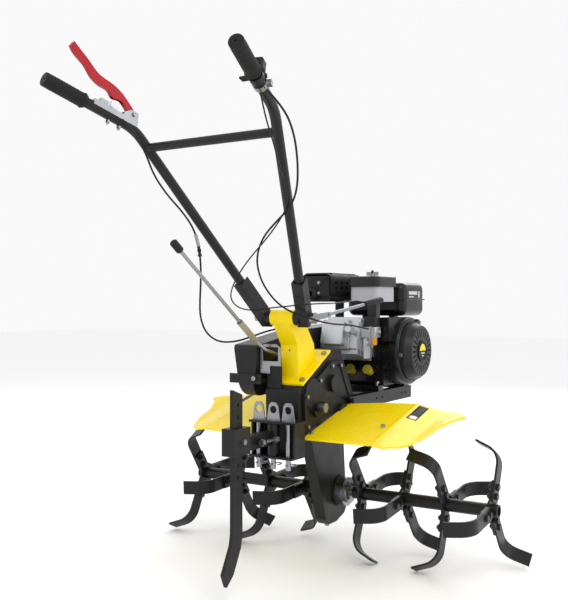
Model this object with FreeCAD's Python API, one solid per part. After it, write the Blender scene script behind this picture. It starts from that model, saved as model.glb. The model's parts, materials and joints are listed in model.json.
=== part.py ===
"""Petrol tiller with belt drive, two tine rotors, a drag stake and tilting handlebars.

Machine frame while modelling, in millimetres: origin at the centre of the tine axle,
+X to the operator's right, +Y forwards to the engine, +Z up.
export() moves everything so that the origin is at the centre of the footprint on the ground.
"""
import FreeCAD, Part
import math
import os

V = FreeCAD.Vector

# ---- driving dimensions -------------------------------------------------
TINE_TIP_RADIUS = 188.0
STAR_PITCH = 128.0
FIRST_STAR_X = 97.0
STARS_PER_SIDE = 4
TINES_PER_STAR = 3
TINE_WIDTH = 40.0
TINE_THICKNESS = 6.0
TINE_BEND = math.radians(68)
TINE_BEND_RADIUS = 55.0
TINE_TIP_RUN = 40.0
TINE_ROOT_RADIUS = 22.0
HUB_TUBE_RADIUS = 18.0
HUB_BORE_RADIUS = 12.0
HUB_MOUTH_RADIUS = 13.5
HUB_INNER_END = 66.0
HUB_OUTER_END = 500.0
HUB_PIN_X = 79.0
FLANGE_THICKNESS = 6.0
TINE_BOLT_RADII = (38.0, 64.0)
RIGHT_PHASE = 6.0
LEFT_TURN = 9.0
# side of the bend of each tine, star by star from the machine outwards (+1 is +X)
RIGHT_BENDS = ((1, 1, 1), (-1, 1, -1), (1, -1, -1), (-1, 1, -1))
OUTPUT_SHAFT_RADIUS = 11.9
OUTPUT_SHAFT_END = 150.0

CRANK_Y = 252.0
CRANK_Z = 406.0
DRIVEN_Y = -226.0
DRIVEN_Z = 370.0
ENGINE_PULLEY_RADIUS = 38.0
DRIVEN_PULLEY_RADIUS = 60.0
PULLEY_X = -119.0
CHAIN_TOP = (-62.0, 250.0)
LOWER_SPROCKET_RADIUS = 27.0
UPPER_SPROCKET_RADIUS = 18.0
CHAIN_HEIGHT = 3.6
CHAIN_ROOM = 7.0
PULLEY_WIDTH = 20.0
BELT_WIDTH = 13.0
BELT_THICKNESS = 8.0
CYLINDER_SLOPE = math.radians(15)
GOVERNOR_Y = 46.0
GOVERNOR_Z = 436.0

PIVOT_Y = -280.0
PIVOT_Z = 517.0
PIVOT_BOLT_RADIUS = 6.0
HINGE_CLEARANCE = 0.3
BARREL_RADIUS = 22.0
BARREL_HALF = 36.0
ARM_TUBE_RADIUS = 12.7
ARM_BORE_RADIUS = 10.7
ARM_PIVOT = (62.0, -280.0, 517.0)
ARM_BEND = (206.0, -650.0, 987.0)
ARM_END = (267.0, -881.0, 1067.6)
ARM_BEND_RADIUS = 110.0
CHANNEL_BELOW = 24.0
CHANNEL_LENGTH = 128.0
TUBE_START = 34.0
CROSS_TUBE_AT = (-617.0, 944.0)
CROSS_TUBE_RADIUS = 11.0
GRIP_LENGTH = 112.0
GRIP_RADIUS = 17.5

STAKE_X = 0.0
STAKE_REAR = -526.0
STAKE_FRONT = -486.0
STAKE_THICKNESS = 10.0
HITCH_PIN_XS = (-40.0, 6.0, 52.0)
HITCH_TOP = 247.0
HITCH_SHEET = 6.0
HITCH_LOW = 149.0
HITCH_Y = -345.0
HITCH_PIN_RADIUS = 7.0

# move from the axle centre to the centre of the footprint on the ground
TO_FOOTPRINT = V(0.0, 223.5, 180.0)


# ---- helpers -------------------------------------------------------------
def box(x0, x1, y0, y1, z0, z1):
    """A block between two corners."""
    return Part.makeBox(x1 - x0, y1 - y0, z1 - z0, V(x0, y0, z0))


def rod(start, direction, radius, length):
    """A cylinder from start along direction."""
    return Part.makeCylinder(radius, length, V(*start), V(*direction))


def x_rod(x0, x1, y, z, radius):
    """A cylinder along X."""
    return rod((x0, y, z), (1, 0, 0), radius, x1 - x0)


def tube(start, direction, outer, inner, length):
    """A round tube."""
    return rod(start, direction, outer, length).cut(rod(start, direction, inner, length))


def slab(points, thickness):
    """A polygon of 3-D points, pushed out by a vector."""
    corners = [V(*p) for p in points]
    corners.append(corners[0])
    face = Part.Face(Part.makePolygon(corners))
    return face.extrude(V(*thickness))


def side_plate(points, x0, x1):
    """A plate standing in the YZ plane, from x0 to x1."""
    return slab([(x0, y, z) for y, z in points], (x1 - x0, 0, 0))


def fuse(shapes):
    """One solid from touching shapes."""
    whole = shapes[0]
    for shape in shapes[1:]:
        whole = whole.fuse(shape)
    return whole.removeSplitter()


def group(shapes):
    """Separate solids kept in one sub-part."""
    return Part.makeCompound(shapes)


def unit(a, b):
    """Unit vector from a to b."""
    step = V(*b).sub(V(*a))
    return step.normalize()


def route(points, radii):
    """A wire of straight runs through points, each corner rounded by a tangent arc."""
    edges = []
    last = V(*points[0])
    for before, corner, after, radius in zip(points, points[1:], points[2:], radii):
        into = unit(before, corner)
        out = unit(corner, after)
        half_turn = into.getAngle(out) / 2.0
        reach = radius * math.tan(half_turn)
        here = V(*corner)
        start = here.sub(into * reach)
        end = here.add(out * reach)
        bisector = out.sub(into).normalize()
        middle = here.add(bisector * (radius / math.cos(half_turn) - radius))
        edges.append(Part.makeLine(last, start))
        edges.append(Part.Arc(start, middle, end).toShape())
        last = end
    edges.append(Part.makeLine(last, V(*points[-1])))
    return Part.Wire(edges)


def pipe(wire, radius, bore=0.0):
    """A round bar, or a tube, swept along a wire."""
    start = wire.Edges[0].valueAt(wire.Edges[0].FirstParameter)
    heading = wire.Edges[0].tangentAt(wire.Edges[0].FirstParameter)
    ring = Part.Wire([Part.makeCircle(radius, start, heading)])
    bar = wire.makePipeShell([ring], True, True)
    if bore > 0:
        hole = Part.Wire([Part.makeCircle(bore, start, heading)])
        bar = bar.cut(wire.makePipeShell([hole], True, True))
    return bar


def cord(points, radius):
    """A cord's tube: each corner's arc radius comes from its shorter run and its turn."""
    radii = []
    for before, corner, after in zip(points, points[1:], points[2:]):
        run_in = V(*corner).sub(V(*before)).Length
        run_out = V(*after).sub(V(*corner)).Length
        half_turn = unit(before, corner).getAngle(unit(corner, after)) / 2.0
        radii.append(0.45 * min(run_in, run_out) / math.tan(half_turn))
    smallest = min(radii)
    print("cord radius %.1f mm, tightest bend %.1f mm" % (radius, smallest))
    return pipe(route(points, radii), radius)


def hexagon(start, direction, across, height):
    """A hexagonal prism, across flats, standing along direction."""
    axis = V(*direction).normalize()
    side = axis.cross(V(0.31, 0.17, 0.93)).normalize()
    other = axis.cross(side)
    reach = across / math.sqrt(3.0)
    corners = []
    for i in range(7):
        angle = math.radians(60 * i)
        corners.append(V(*start).add(side * (reach * math.cos(angle))).add(other * (reach * math.sin(angle))))
    return Part.Face(Part.makePolygon(corners)).extrude(axis * height)


def bolt(start, direction, radius, length, across, head):
    """A hex bolt whose shank starts at start and whose head lies behind it."""
    axis = V(*direction).normalize()
    seat = V(*start).sub(axis * head)
    return fuse([hexagon(tuple(seat), direction, across, head), rod(start, direction, radius, length)])


def loop(centre_a, radius_a, centre_b, radius_b, x0, x1):
    """A solid of the shape that a belt round two pulleys encloses, from x0 to x1."""
    span = math.hypot(centre_b[0] - centre_a[0], centre_b[1] - centre_a[1])
    along = math.atan2(centre_b[1] - centre_a[1], centre_b[0] - centre_a[0])
    lean = math.acos((radius_a - radius_b) / span)

    def rim(centre, radius, angle):
        return V(x0, centre[0] + radius * math.cos(angle), centre[1] + radius * math.sin(angle))

    a_high = rim(centre_a, radius_a, along + lean)
    a_far = rim(centre_a, radius_a, along + math.pi)
    a_low = rim(centre_a, radius_a, along - lean)
    b_high = rim(centre_b, radius_b, along + lean)
    b_far = rim(centre_b, radius_b, along)
    b_low = rim(centre_b, radius_b, along - lean)
    outline = Part.Wire([Part.Arc(a_high, a_far, a_low).toShape(), Part.makeLine(a_low, b_low),
                         Part.Arc(b_low, b_far, b_high).toShape(), Part.makeLine(b_high, a_high)])
    return Part.Face(outline).extrude(V(x1 - x0, 0, 0))


def rounded(shape, radius, keep):
    """Fillet the edges that keep() picks."""
    edges = [e for e in shape.Edges if keep(e)]
    return shape.makeFillet(radius, edges)


def along_axis(edge, axis):
    """True for a straight edge along one axis: 0 is X, 1 is Y and 2 is Z."""
    if not isinstance(edge.Curve, (Part.Line, Part.LineSegment)):
        return False
    a = edge.Vertexes[0].Point
    b = edge.Vertexes[-1].Point
    step = b.sub(a)
    return abs(step[axis]) > 0.999 * step.Length


def mirror_x(shape):
    """The same shape on the other side of the middle plane."""
    return shape.mirror(V(0, 0, 0), V(1, 0, 0))


# ---- tine rotors -----------------------------------------------------------
def tine(angle, bend_side, x_face):
    """One flat bar: radial from the flange, then bent towards the axle's direction."""
    straight = TINE_TIP_RADIUS - TINE_BEND_RADIUS * math.sin(TINE_BEND) - TINE_TIP_RUN * math.cos(TINE_BEND)
    lateral = TINE_BEND_RADIUS * (1 - math.cos(TINE_BEND))
    arc_end = (lateral, straight + TINE_BEND_RADIUS * math.sin(TINE_BEND))
    middle = (TINE_BEND_RADIUS * (1 - math.cos(TINE_BEND / 2)),
              straight + TINE_BEND_RADIUS * math.sin(TINE_BEND / 2))
    tip = (arc_end[0] + TINE_TIP_RUN * math.sin(TINE_BEND), arc_end[1] + TINE_TIP_RUN * math.cos(TINE_BEND))
    half = TINE_WIDTH / 2

    def at(point):
        return V(bend_side * point[0], -half, point[1])

    spine = Part.Wire([Part.makeLine(at((0, TINE_ROOT_RADIUS)), at((0, straight))),
                       Part.Arc(at((0, straight)), at(middle), at(arc_end)).toShape(),
                       Part.makeLine(at(arc_end), at(tip))])
    edge = Part.makePolygon([V(0, -half, TINE_ROOT_RADIUS), V(bend_side * TINE_THICKNESS, -half, TINE_ROOT_RADIUS),
                             V(bend_side * TINE_THICKNESS, half, TINE_ROOT_RADIUS), V(0, half, TINE_ROOT_RADIUS),
                             V(0, -half, TINE_ROOT_RADIUS)])
    bar = spine.makePipeShell([edge], True, True)
    for radius in TINE_BOLT_RADII:
        bar = bar.cut(x_rod(-TINE_THICKNESS * 2, TINE_THICKNESS * 2, 0, radius, 5.0))
    # a bar bent to -X lies on the same face of its flange
    seat = x_face if bend_side > 0 else x_face + TINE_THICKNESS
    bar.translate(V(seat, 0, 0))
    bar.rotate(V(0, 0, 0), V(1, 0, 0), angle - 90)
    return bar


def star_x(number):
    """Where the outer face of a star's flange is along the right half of the axle."""
    return FIRST_STAR_X + STAR_PITCH * number


def star_angles(number):
    """Angles of a star's tines from +Y, turning towards +Z."""
    return [RIGHT_PHASE + 180 * (number % 2) + 120 * k for k in range(TINES_PER_STAR)]


def on_side(shape, side):
    """The left rotor is the right one turned end for end, then about the axle by a few degrees."""
    if side < 0:
        shape.rotate(V(0, 0, 0), V(0, 0, 1), 180)
        shape.rotate(V(0, 0, 0), V(1, 0, 0), LEFT_TURN)
    return shape


def tines(side):
    """The twelve tines of one rotor, three to a star."""
    bars = []
    for number in range(STARS_PER_SIDE):
        for angle, bend in zip(star_angles(number), RIGHT_BENDS[number]):
            bars.append(tine(angle, bend, star_x(number)))
    return group([on_side(bar, side) for bar in bars])


def carrier(side):
    """Hub tube with its welded flanges."""
    shapes = [x_rod(HUB_INNER_END, HUB_OUTER_END, 0, 0, HUB_TUBE_RADIUS)]
    for number in range(STARS_PER_SIDE):
        face = star_x(number)
        shapes.append(x_rod(face - FLANGE_THICKNESS, face, 0, 0, 32))
        for angle in star_angles(number):
            arm = box(face - FLANGE_THICKNESS, face, -TINE_WIDTH / 2 + 1, TINE_WIDTH / 2 - 1, 0, 78)
            for radius in TINE_BOLT_RADII:
                arm = arm.cut(x_rod(face - 10, face + 10, 0, radius, 5.0))
            arm.rotate(V(0, 0, 0), V(1, 0, 0), angle - 90)
            shapes.append(arm)
    whole = fuse(shapes).cut(x_rod(HUB_INNER_END, OUTPUT_SHAFT_END, 0, 0, HUB_BORE_RADIUS))
    whole = whole.cut(x_rod(OUTPUT_SHAFT_END, HUB_OUTER_END, 0, 0, HUB_MOUTH_RADIUS))
    return on_side(whole.cut(rod((HUB_PIN_X, 0, -40), (0, 0, 1), 4.0, 80)), side)


def tine_bolts(side):
    """Every bolt and nut that holds this side's tines."""
    bolts = []
    for number in range(STARS_PER_SIDE):
        face = star_x(number)
        for angle in star_angles(number):
            for radius in TINE_BOLT_RADII:
                shank = x_rod(face - FLANGE_THICKNESS - 12, face + TINE_THICKNESS, 0, radius, 5.0)
                head = hexagon((face + TINE_THICKNESS, 0, radius), (1, 0, 0), 16, 6.5)
                nut = hexagon((face - FLANGE_THICKNESS, 0, radius), (-1, 0, 0), 16, 8)
                one = fuse([shank, head, nut])
                one.rotate(V(0, 0, 0), V(1, 0, 0), angle - 90)
                bolts.append(on_side(one, side))
    return bolts


def hub_pins():
    """Clevis pins that lock both hub tubes to the output shaft."""
    pins = []
    for side in (-1, 1):
        shank = rod((HUB_PIN_X, 0, -24), (0, 0, 1), 4.0, 52)
        head = rod((HUB_PIN_X, 0, 24), (0, 0, 1), 7.0, 5)
        pins.append(on_side(fuse([shank, head]), side))
    return pins


def output_shaft():
    """Shaft through the chain case, with its sprocket."""
    shaft = x_rod(-OUTPUT_SHAFT_END + 2, OUTPUT_SHAFT_END - 2, 0, 0, OUTPUT_SHAFT_RADIUS)
    sprocket = x_rod(-4, 4, 0, 0, LOWER_SPROCKET_RADIUS)
    whole = fuse([shaft, sprocket])
    for side in (-1, 1):
        whole = whole.cut(on_side(rod((HUB_PIN_X, 0, -30), (0, 0, 1), 4.0, 60), side))
    return whole


# ---- chain case and gearbox ------------------------------------------------
LEG_PROFILE = ((-168, 176), (-83, -71), (-66, -88), (-20, -88), (30, -72), (43, -54), (22, 176))


def chain_room():
    """The space inside leg and gearbox in which the chain runs."""
    return loop((0, 0), LOWER_SPROCKET_RADIUS + CHAIN_ROOM, CHAIN_TOP, UPPER_SPROCKET_RADIUS + CHAIN_ROOM, -12, 12)


def chain_case():
    """The hollow leg that carries the chain down to the output shaft."""
    leg = side_plate(LEG_PROFILE, -17, 17)
    leg = rounded(leg, 10, lambda e: along_axis(e, 0) and e.Vertexes[0].Point.z < 100)
    leg = leg.cut(chain_room())
    for side in (-1, 1):
        x0, x1 = sorted((side * 17, side * 22))
        leg = leg.fuse(x_rod(x0, x1, 0, 0, 46))
    leg = leg.cut(x_rod(-60, 60, 0, 0, OUTPUT_SHAFT_RADIUS + HINGE_CLEARANCE))
    return leg.cut(rod((0, -48, -95), (0, 0, 1), 6, 20))


def drain_plug():
    """Screw plug at the foot of the chain case."""
    return fuse([rod((0, -48, -88), (0, 0, 1), 6, 8), hexagon((0, -48, -88), (0, 0, -1), 13, 8)])


def seal_housings():
    """Black seal housings on both faces of the chain case."""
    shapes = []
    for side in (-1, 1):
        ring = tube((side * 22, 0, 0), (side, 0, 0), 42, OUTPUT_SHAFT_RADIUS + HINGE_CLEARANCE, 24)
        shapes.append(ring)
    return group(shapes)


def seal_flanges():
    """Bright flange rings with four screws, outside the seal housings."""
    shapes = []
    for side in (-1, 1):
        ring = tube((side * 46, 0, 0), (side, 0, 0), 32, OUTPUT_SHAFT_RADIUS + HINGE_CLEARANCE, 10)
        for k in range(4):
            angle = math.radians(45 + 90 * k)
            y = 24 * math.cos(angle)
            z = 24 * math.sin(angle)
            ring = ring.fuse(hexagon((side * 56, y, z), (side, 0, 0), 9, 5))
        shapes.append(ring)
    return group(shapes)


GEARBOX_PROFILE = ((-290, 182), (-296, 323.2), (-112, 424.9), (-60, 423), (22, 283), (22, 176), (-168, 176), (-180, 182))


def gearbox_housing():
    """Cast gearbox with a sloping top face for the handle column and a bearing ear for the input shaft."""
    body = side_plate(GEARBOX_PROFILE, -52, 52)
    body = rounded(body, 8, lambda e: along_axis(e, 0) and e.Vertexes[0].Point.z > 180)
    boss = x_rod(-62, 61, DRIVEN_Y, DRIVEN_Z - 62, 44)
    ear = x_rod(-72, -56, DRIVEN_Y, DRIVEN_Z, 24)
    web = box(-72, -56, DRIVEN_Y - 20, DRIVEN_Y + 20, DRIVEN_Z - 62, DRIVEN_Z)
    gate_lug = side_plate(((-288, 312), (-288, 386), (-279, 386), (-279, 320)), -52, -8)
    body = fuse([body, boss, ear, web, gate_lug])
    bore = x_rod(-140, -57, DRIVEN_Y, DRIVEN_Z, 10.3)
    return body.cut(bore).cut(chain_room()).removeSplitter()


def gearbox_cover():
    """Side cover of the gearbox with its ribs and shaft bosses."""
    outline = ((-272, 200), (-276, 312), (-128, 392), (-72, 392), (-10, 285), (-10, 200))
    plate = side_plate(outline, 52, 58)
    rim = side_plate(outline, 58, 61).cut(side_plate([(y * 0.9 - 14, z * 0.9 + 29) for y, z in outline], 58, 61))
    shapes = [plate, rim]
    for y, z, radius in ((-212, 272, 27), (-120, 330, 24), (-70, 240, 28)):
        shapes.append(x_rod(58, 70, y, z, radius))
    cover = fuse(shapes)
    return cover.cut(x_rod(50, 80, DRIVEN_Y, DRIVEN_Z - 62, 44))


def gearbox_bolts():
    """Screws round the gearbox side cover, the level plug and the plated boss."""
    spots = ((-262, 224), (-266, 305), (-196, 344), (-128, 380), (-78, 378), (-20, 262), (-22, 212), (-140, 206))
    heads = [hexagon((61, y, z), (1, 0, 0), 10, 6) for y, z in spots]
    heads.append(x_rod(70, 90, -212, 272, 13))
    return group(heads)


def chain():
    """Roller chain round its two sprockets, as one closed band."""
    lower = LOWER_SPROCKET_RADIUS + 0.4
    upper = UPPER_SPROCKET_RADIUS + 0.4
    outer = loop((0, 0), lower + CHAIN_HEIGHT, CHAIN_TOP, upper + CHAIN_HEIGHT, -3.5, 3.5)
    return outer.cut(loop((0, 0), lower, CHAIN_TOP, upper, -4, 4))


def upper_sprocket():
    """Small sprocket on the gearbox's last shaft."""
    y, z = CHAIN_TOP
    return fuse([x_rod(-4, 4, y, z, UPPER_SPROCKET_RADIUS), x_rod(-11.5, 11.5, y, z, 12)])


# ---- frame, column, fenders --------------------------------------------------
def engine_bed():
    """Two channel rails joined by cross plates under the engine."""
    shapes = []
    for side in (-1, 1):
        for near, rear in ((52, -6), (63, -54)):
            x0, x1 = sorted((side * near, side * 80))
            shapes.append(box(x0, x1, rear, 377, 281, 285))
        x0, x1 = sorted((side * 76, side * 80))
        shapes.append(box(x0, x1, -30, 377, 246, 285))
    shapes.append(box(-52, 52, 120, 180, 281, 285))
    shapes.append(box(-52, 52, 300, 377, 281, 285))
    shapes.append(box(-76, 76, 22, 60, 277, 281))
    shapes.append(side_plate(((22, 200), (60, 277), (22, 277)), -40, -34))
    shapes.append(side_plate(((22, 200), (60, 277), (22, 277)), 34, 40))
    bed = fuse(shapes)
    for y in (150, 340):
        for x in (-66, 66):
            bed = bed.cut(rod((x, y, 270), (0, 0, 1), 4.2, 30))
    for y in (120, 160, 300, 330):
        bed = bed.cut(x_rod(-90, 90, y, 266, 4))
    return bed


def frame_bolts():
    """Engine bolts with nuts under the rails, and the fender strap bolts."""
    bolts = []
    for y in (150, 340):
        for x in (-66, 66):
            shank = rod((x, y, 273), (0, 0, 1), 4.0, 41)
            head = hexagon((x, y, 281), (0, 0, -1), 13, 6)
            nut = hexagon((x, y, 308), (0, 0, 1), 13, 6)
            bolts.append(fuse([shank, head, nut]))
    return group(bolts)


SLOPE_REAR = (-275.0, 335.0)
SLOPE_FRONT = (-123.0, 419.0)


def on_slope(share, lift):
    """A point of the column's base plane, lifted square to it, as (y, z)."""
    dy = SLOPE_FRONT[0] - SLOPE_REAR[0]
    dz = SLOPE_FRONT[1] - SLOPE_REAR[1]
    length = math.hypot(dy, dz)
    y = SLOPE_REAR[0] + dy * share - lift * dz / length
    z = SLOPE_REAR[1] + dz * share + lift * dy / length
    return y, z


def handle_column():
    """Pressed column with the cross barrel on top and a sloping foot plate."""
    outline = ((-300, 508), (-257, 442), (-250, 348.9), (-166, 395.3), (-169, 442), (-206, 490), (-262, 532))
    pillar = side_plate(outline, -27, 27)
    inside = ((-252, 520), (-238, 448), (-240, 345), (-150, 398), (-150, 442), (-190, 500))
    pillar = pillar.cut(side_plate(inside, -23, 23))
    barrel = x_rod(-BARREL_HALF, BARREL_HALF, PIVOT_Y, PIVOT_Z, BARREL_RADIUS)
    foot = side_plate((on_slope(0, 0), on_slope(1, 0), on_slope(1, 6), on_slope(0, 6)), -55, 55)
    column = fuse([pillar, barrel, foot])
    column = column.cut(x_rod(-60, 60, PIVOT_Y, PIVOT_Z, PIVOT_BOLT_RADIUS + HINGE_CLEARANCE))
    column = column.cut(rod((0, -270, 428), (0, 1, 0), 3, 25))
    for share in (0.1, 0.88):
        for x in (-45, 45):
            y, z = on_slope(share, 10)
            down = V(0, SLOPE_FRONT[1] - SLOPE_REAR[1], SLOPE_REAR[0] - SLOPE_FRONT[0])
            column = column.cut(rod((x, y, z), tuple(down), 4.0, 20))
    return column


def column_bolts():
    """Four bolts through the column's foot plate into the gearbox."""
    bolts = []
    down = V(0, SLOPE_FRONT[1] - SLOPE_REAR[1], SLOPE_REAR[0] - SLOPE_FRONT[0]).normalize()
    for share in (0.1, 0.88):
        for x in (-45, 45):
            y, z = on_slope(share, 6)
            bolts.append(bolt((x, y, z), tuple(down), 4.0, 6, 13, 6))
    return group(bolts)


FENDER_SLOPE = 0.254
FENDER_SHEET = 2.5
FENDER_PROFILE = ((60, 0), (150, 0.5), (262, 0), (300, -5), (332, -13), (352, -15), (390, -13), (430, -11))
FENDER_OUTLINE = ((62.5, -294), (298, -291), (301, -280), (325, -263), (345, -233), (362, -187), (374, -119),
                  (398, -63), (423, -40), (411, -25), (383, -8), (340, 0), (273, -2), (175, -10), (62.5, -38))


def fender_top(y):
    """Height of the flat part of a fender at y."""
    return 264.0 + (y + 38.0) * FENDER_SLOPE


def fender(side):
    """A pressed guard that slopes down to the rear, with an S-curve down to its outer rim."""
    rear = -310.0
    upper = [V(x, rear, fender_top(rear) + dz) for x, dz in FENDER_PROFILE]
    lower = [V(p.x, p.y, p.z - FENDER_SHEET) for p in reversed(upper)]
    over = Part.BSplineCurve()
    over.interpolate(upper)
    under = Part.BSplineCurve()
    under.interpolate(lower)
    section = Part.Wire([over.toShape(), Part.makeLine(upper[-1], lower[0]),
                         under.toShape(), Part.makeLine(lower[-1], upper[0])])
    run = 330.0
    sheet = Part.Face(section).extrude(V(0, run, run * FENDER_SLOPE))
    plan = slab([(x, y, 150) for x, y in FENDER_OUTLINE], (0, 0, 180))
    shell = sheet.common(plan)
    for x, y in FENDER_BOLTS:
        shell = shell.cut(rod((x, y, 150), (0, 0, 1), 4.2, 180))
    shell = shell.cut(x_rod(50, 72, -70, 240, 29))
    return shell if side > 0 else mirror_x(shell)


FENDER_BOLTS = ((74, -262), (245, -180))


def fender_bolts():
    """Bolts through both fenders into their stays."""
    bolts = []
    for side in (-1, 1):
        for x, y in FENDER_BOLTS:
            z = fender_top(y)
            shank = rod((side * x, y, z - 10), (0, 0, 1), 3.8, 14)
            bolts.append(fuse([shank, hexagon((side * x, y, z + 3), (0, 0, 1), 12, 5)]))
    return bolts


def fender_stays():
    """Flat steel stays that carry the fenders from the gearbox."""
    stays = []
    for side in (-1, 1):
        for x, y in FENDER_BOLTS:
            x0, x1 = sorted((side * 62.5, side * (x + 18)))
            level = fender_top(y) - FENDER_SHEET - 4.3
            stay = slab([(x0, y - 14, level - 14 * FENDER_SLOPE - 3.5), (x0, y + 14, level + 14 * FENDER_SLOPE - 3.5),
                         (x0, y + 14, level + 14 * FENDER_SLOPE), (x0, y - 14, level - 14 * FENDER_SLOPE)],
                        (x1 - x0, 0, 0))
            stays.append(stay.cut(rod((side * x, y, 150), (0, 0, 1), 3.8, 150)))
    return stays


# ---- engine --------------------------------------------------------------------
def up_cylinder(distance, lift):
    """A point (y, z) at a distance from the crank along the cylinder, and beside it."""
    y = CRANK_Y - distance * math.cos(CYLINDER_SLOPE) + lift * math.sin(CYLINDER_SLOPE)
    z = CRANK_Z + distance * math.sin(CYLINDER_SLOPE) + lift * math.cos(CYLINDER_SLOPE)
    return y, z


def cylinder_slab(near, far, low, high, x0, x1):
    """A block square to the cylinder's axis."""
    return side_plate((up_cylinder(near, low), up_cylinder(far, low), up_cylinder(far, high),
                       up_cylinder(near, high)), x0, x1)


def crankcase():
    """Cast crankcase on its two feet, with the shaft bearing boss."""
    body = side_plate(((158, 300), (352, 300), (352, 440), (320, 486), (185, 486), (158, 440)), -58, 84)
    body = rounded(body, 12, lambda e: along_axis(e, 0))
    feet = [box(-80, 80, 132, 168, 286, 302), box(-80, 80, 322, 358, 286, 302)]
    boss = x_rod(-72, -58, CRANK_Y, CRANK_Z, 40)
    whole = fuse([body, boss] + feet)
    whole = whole.cut(x_rod(-100, 120, CRANK_Y, CRANK_Z, 10.4))
    for y in (150, 340):
        for x in (-66, 66):
            whole = whole.cut(rod((x, y, 280), (0, 0, 1), 4.0, 28))
    return whole.cut(box(56, 90, 328, 360, 302, 322))


def cylinder_block():
    """Finned cylinder and head, leaning back from the crankcase."""
    shapes = [cylinder_slab(80, 212, -42, 42, -48, 52)]
    for k in range(10):
        near = 108 + 10.5 * k
        shapes.append(cylinder_slab(near, near + 3.5, -58, 56, -60, 55))
    whole = fuse(shapes)
    return whole.cut(crankcase()).Solids[0]


def valve_cover():
    """Pressed valve cover with a rounded rim."""
    cover = cylinder_slab(216, 240, -36, 36, -58, 16)
    cover = rounded(cover, 9, lambda e: not along_axis(e, 0) and e.Length < 30)
    rim = cylinder_slab(212, 216, -45, 45, -69, 27)
    return fuse([cover, rim])


def spark_plug():
    """Spark plug with its boot, screwed into the head beside the valve cover."""
    y, z = up_cylinder(212, 8)
    heading = (0, -math.cos(CYLINDER_SLOPE), math.sin(CYLINDER_SLOPE))
    return fuse([rod((40, y, z), heading, 7, 14), rod((40, y, z), heading, 4, 22),
                 rod((40, *up_cylinder(226, 8)), heading, 10, 30)])


STARTER_RISE = 0.6


def fan_housing():
    """Round blower housing on the starter side, with cooling louvres cut through its rim."""
    ring = x_rod(84, 138, CRANK_Y, CRANK_Z, 106)
    ring = rounded(ring, 10, lambda e: e.Length > 300 and e.BoundBox.XMax > 130)
    duct = box(84, 120, 122, 252, 440, 512)
    shell = fuse([ring, duct])
    hollow = fuse([x_rod(84, 132, CRANK_Y, CRANK_Z, 98), box(84, 116, 128, 252, 446, 506)])
    shell = shell.cut(hollow)
    shell = shell.cut(x_rod(130, 140, CRANK_Y, CRANK_Z, 70))
    shell = shell.cut(rod((104, CRANK_Y, CRANK_Z), (0, 1, STARTER_RISE), 4.5, 120))
    return shell.cut(box(84, 84.5, 0, 400, 290, 520))


def recoil_cover():
    """Domed starter cover with radial slots."""
    base = x_rod(138, 150, CRANK_Y, CRANK_Z, 92)
    dome = Part.makeCone(88, 78, 22, V(150, CRANK_Y, CRANK_Z), V(1, 0, 0))
    cover = fuse([base, dome])
    cover = rounded(cover, 4, lambda e: e.Length > 300 and e.BoundBox.XMin > 160)
    cover = cover.cut(fuse([x_rod(138, 147, CRANK_Y, CRANK_Z, 84), x_rod(138, 168, CRANK_Y, CRANK_Z, 74)]))
    for k in range(24):
        slot = box(160, 180, CRANK_Y - 2.2, CRANK_Y + 2.2, CRANK_Z + 46, CRANK_Z + 70)
        slot.rotate(V(0, CRANK_Y, CRANK_Z), V(1, 0, 0), 15 * k)
        cover = cover.cut(slot)
    return cover


def flywheel():
    """Flywheel with fan blades, turning inside the blower housing."""
    wheel = fuse([x_rod(92, 100, CRANK_Y, CRANK_Z, 88), x_rod(88, 116, CRANK_Y, CRANK_Z, 30)])
    for k in range(12):
        blade = box(99, 116, CRANK_Y - 1.5, CRANK_Y + 1.5, CRANK_Z + 28, CRANK_Z + 86)
        blade.rotate(V(0, CRANK_Y, CRANK_Z), V(1, 0, 0), 30 * k)
        wheel = wheel.fuse(blade)
    return wheel.cut(x_rod(80, 120, CRANK_Y, CRANK_Z, 10))


def crankshaft():
    """Shaft from the flywheel through the crankcase to the engine pulley."""
    return x_rod(-128, 116, CRANK_Y, CRANK_Z, 10)


def grooved_pulley(y, z, radius, bore):
    """V-belt pulley with one groove."""
    wheel = x_rod(PULLEY_X, PULLEY_X + PULLEY_WIDTH, y, z, radius + 3)
    middle = PULLEY_X + PULLEY_WIDTH / 2
    groove = tube((middle - BELT_WIDTH / 2 - 0.4, y, z), (1, 0, 0), radius + 20, radius - BELT_THICKNESS - 0.4,
                  BELT_WIDTH + 0.8)
    return wheel.cut(groove).cut(x_rod(-200, 0, y, z, bore))


def drive_belt():
    """Belt round both pulleys, clear of the bottoms of their grooves."""
    x0 = PULLEY_X + (PULLEY_WIDTH - BELT_WIDTH) / 2
    crank = (CRANK_Y, CRANK_Z)
    driven = (DRIVEN_Y, DRIVEN_Z)
    outer = loop(crank, ENGINE_PULLEY_RADIUS, driven, DRIVEN_PULLEY_RADIUS, x0, x0 + BELT_WIDTH)
    inner = loop(crank, ENGINE_PULLEY_RADIUS - BELT_THICKNESS, driven, DRIVEN_PULLEY_RADIUS - BELT_THICKNESS,
                 x0 - 1, x0 + BELT_WIDTH + 1)
    return outer.cut(inner)


def input_shaft():
    """Gearbox input shaft under the driven pulley."""
    return x_rod(-126, -57.5, DRIVEN_Y, DRIVEN_Z, 10)


BELT_COVER_SIDE = ((-306, 441), (-40, 479), (200, 489), (318, 470), (318, 345), (-306, 296))
BELT_COVER_SHEET = 2.5
# corner radii of the belt cover's outline: height range of the edge, then its radius
BELT_COVER_CORNERS = ((430, 450, 14), (465, 473, 38), (340, 350, 38), (290, 300, 44))


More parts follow.
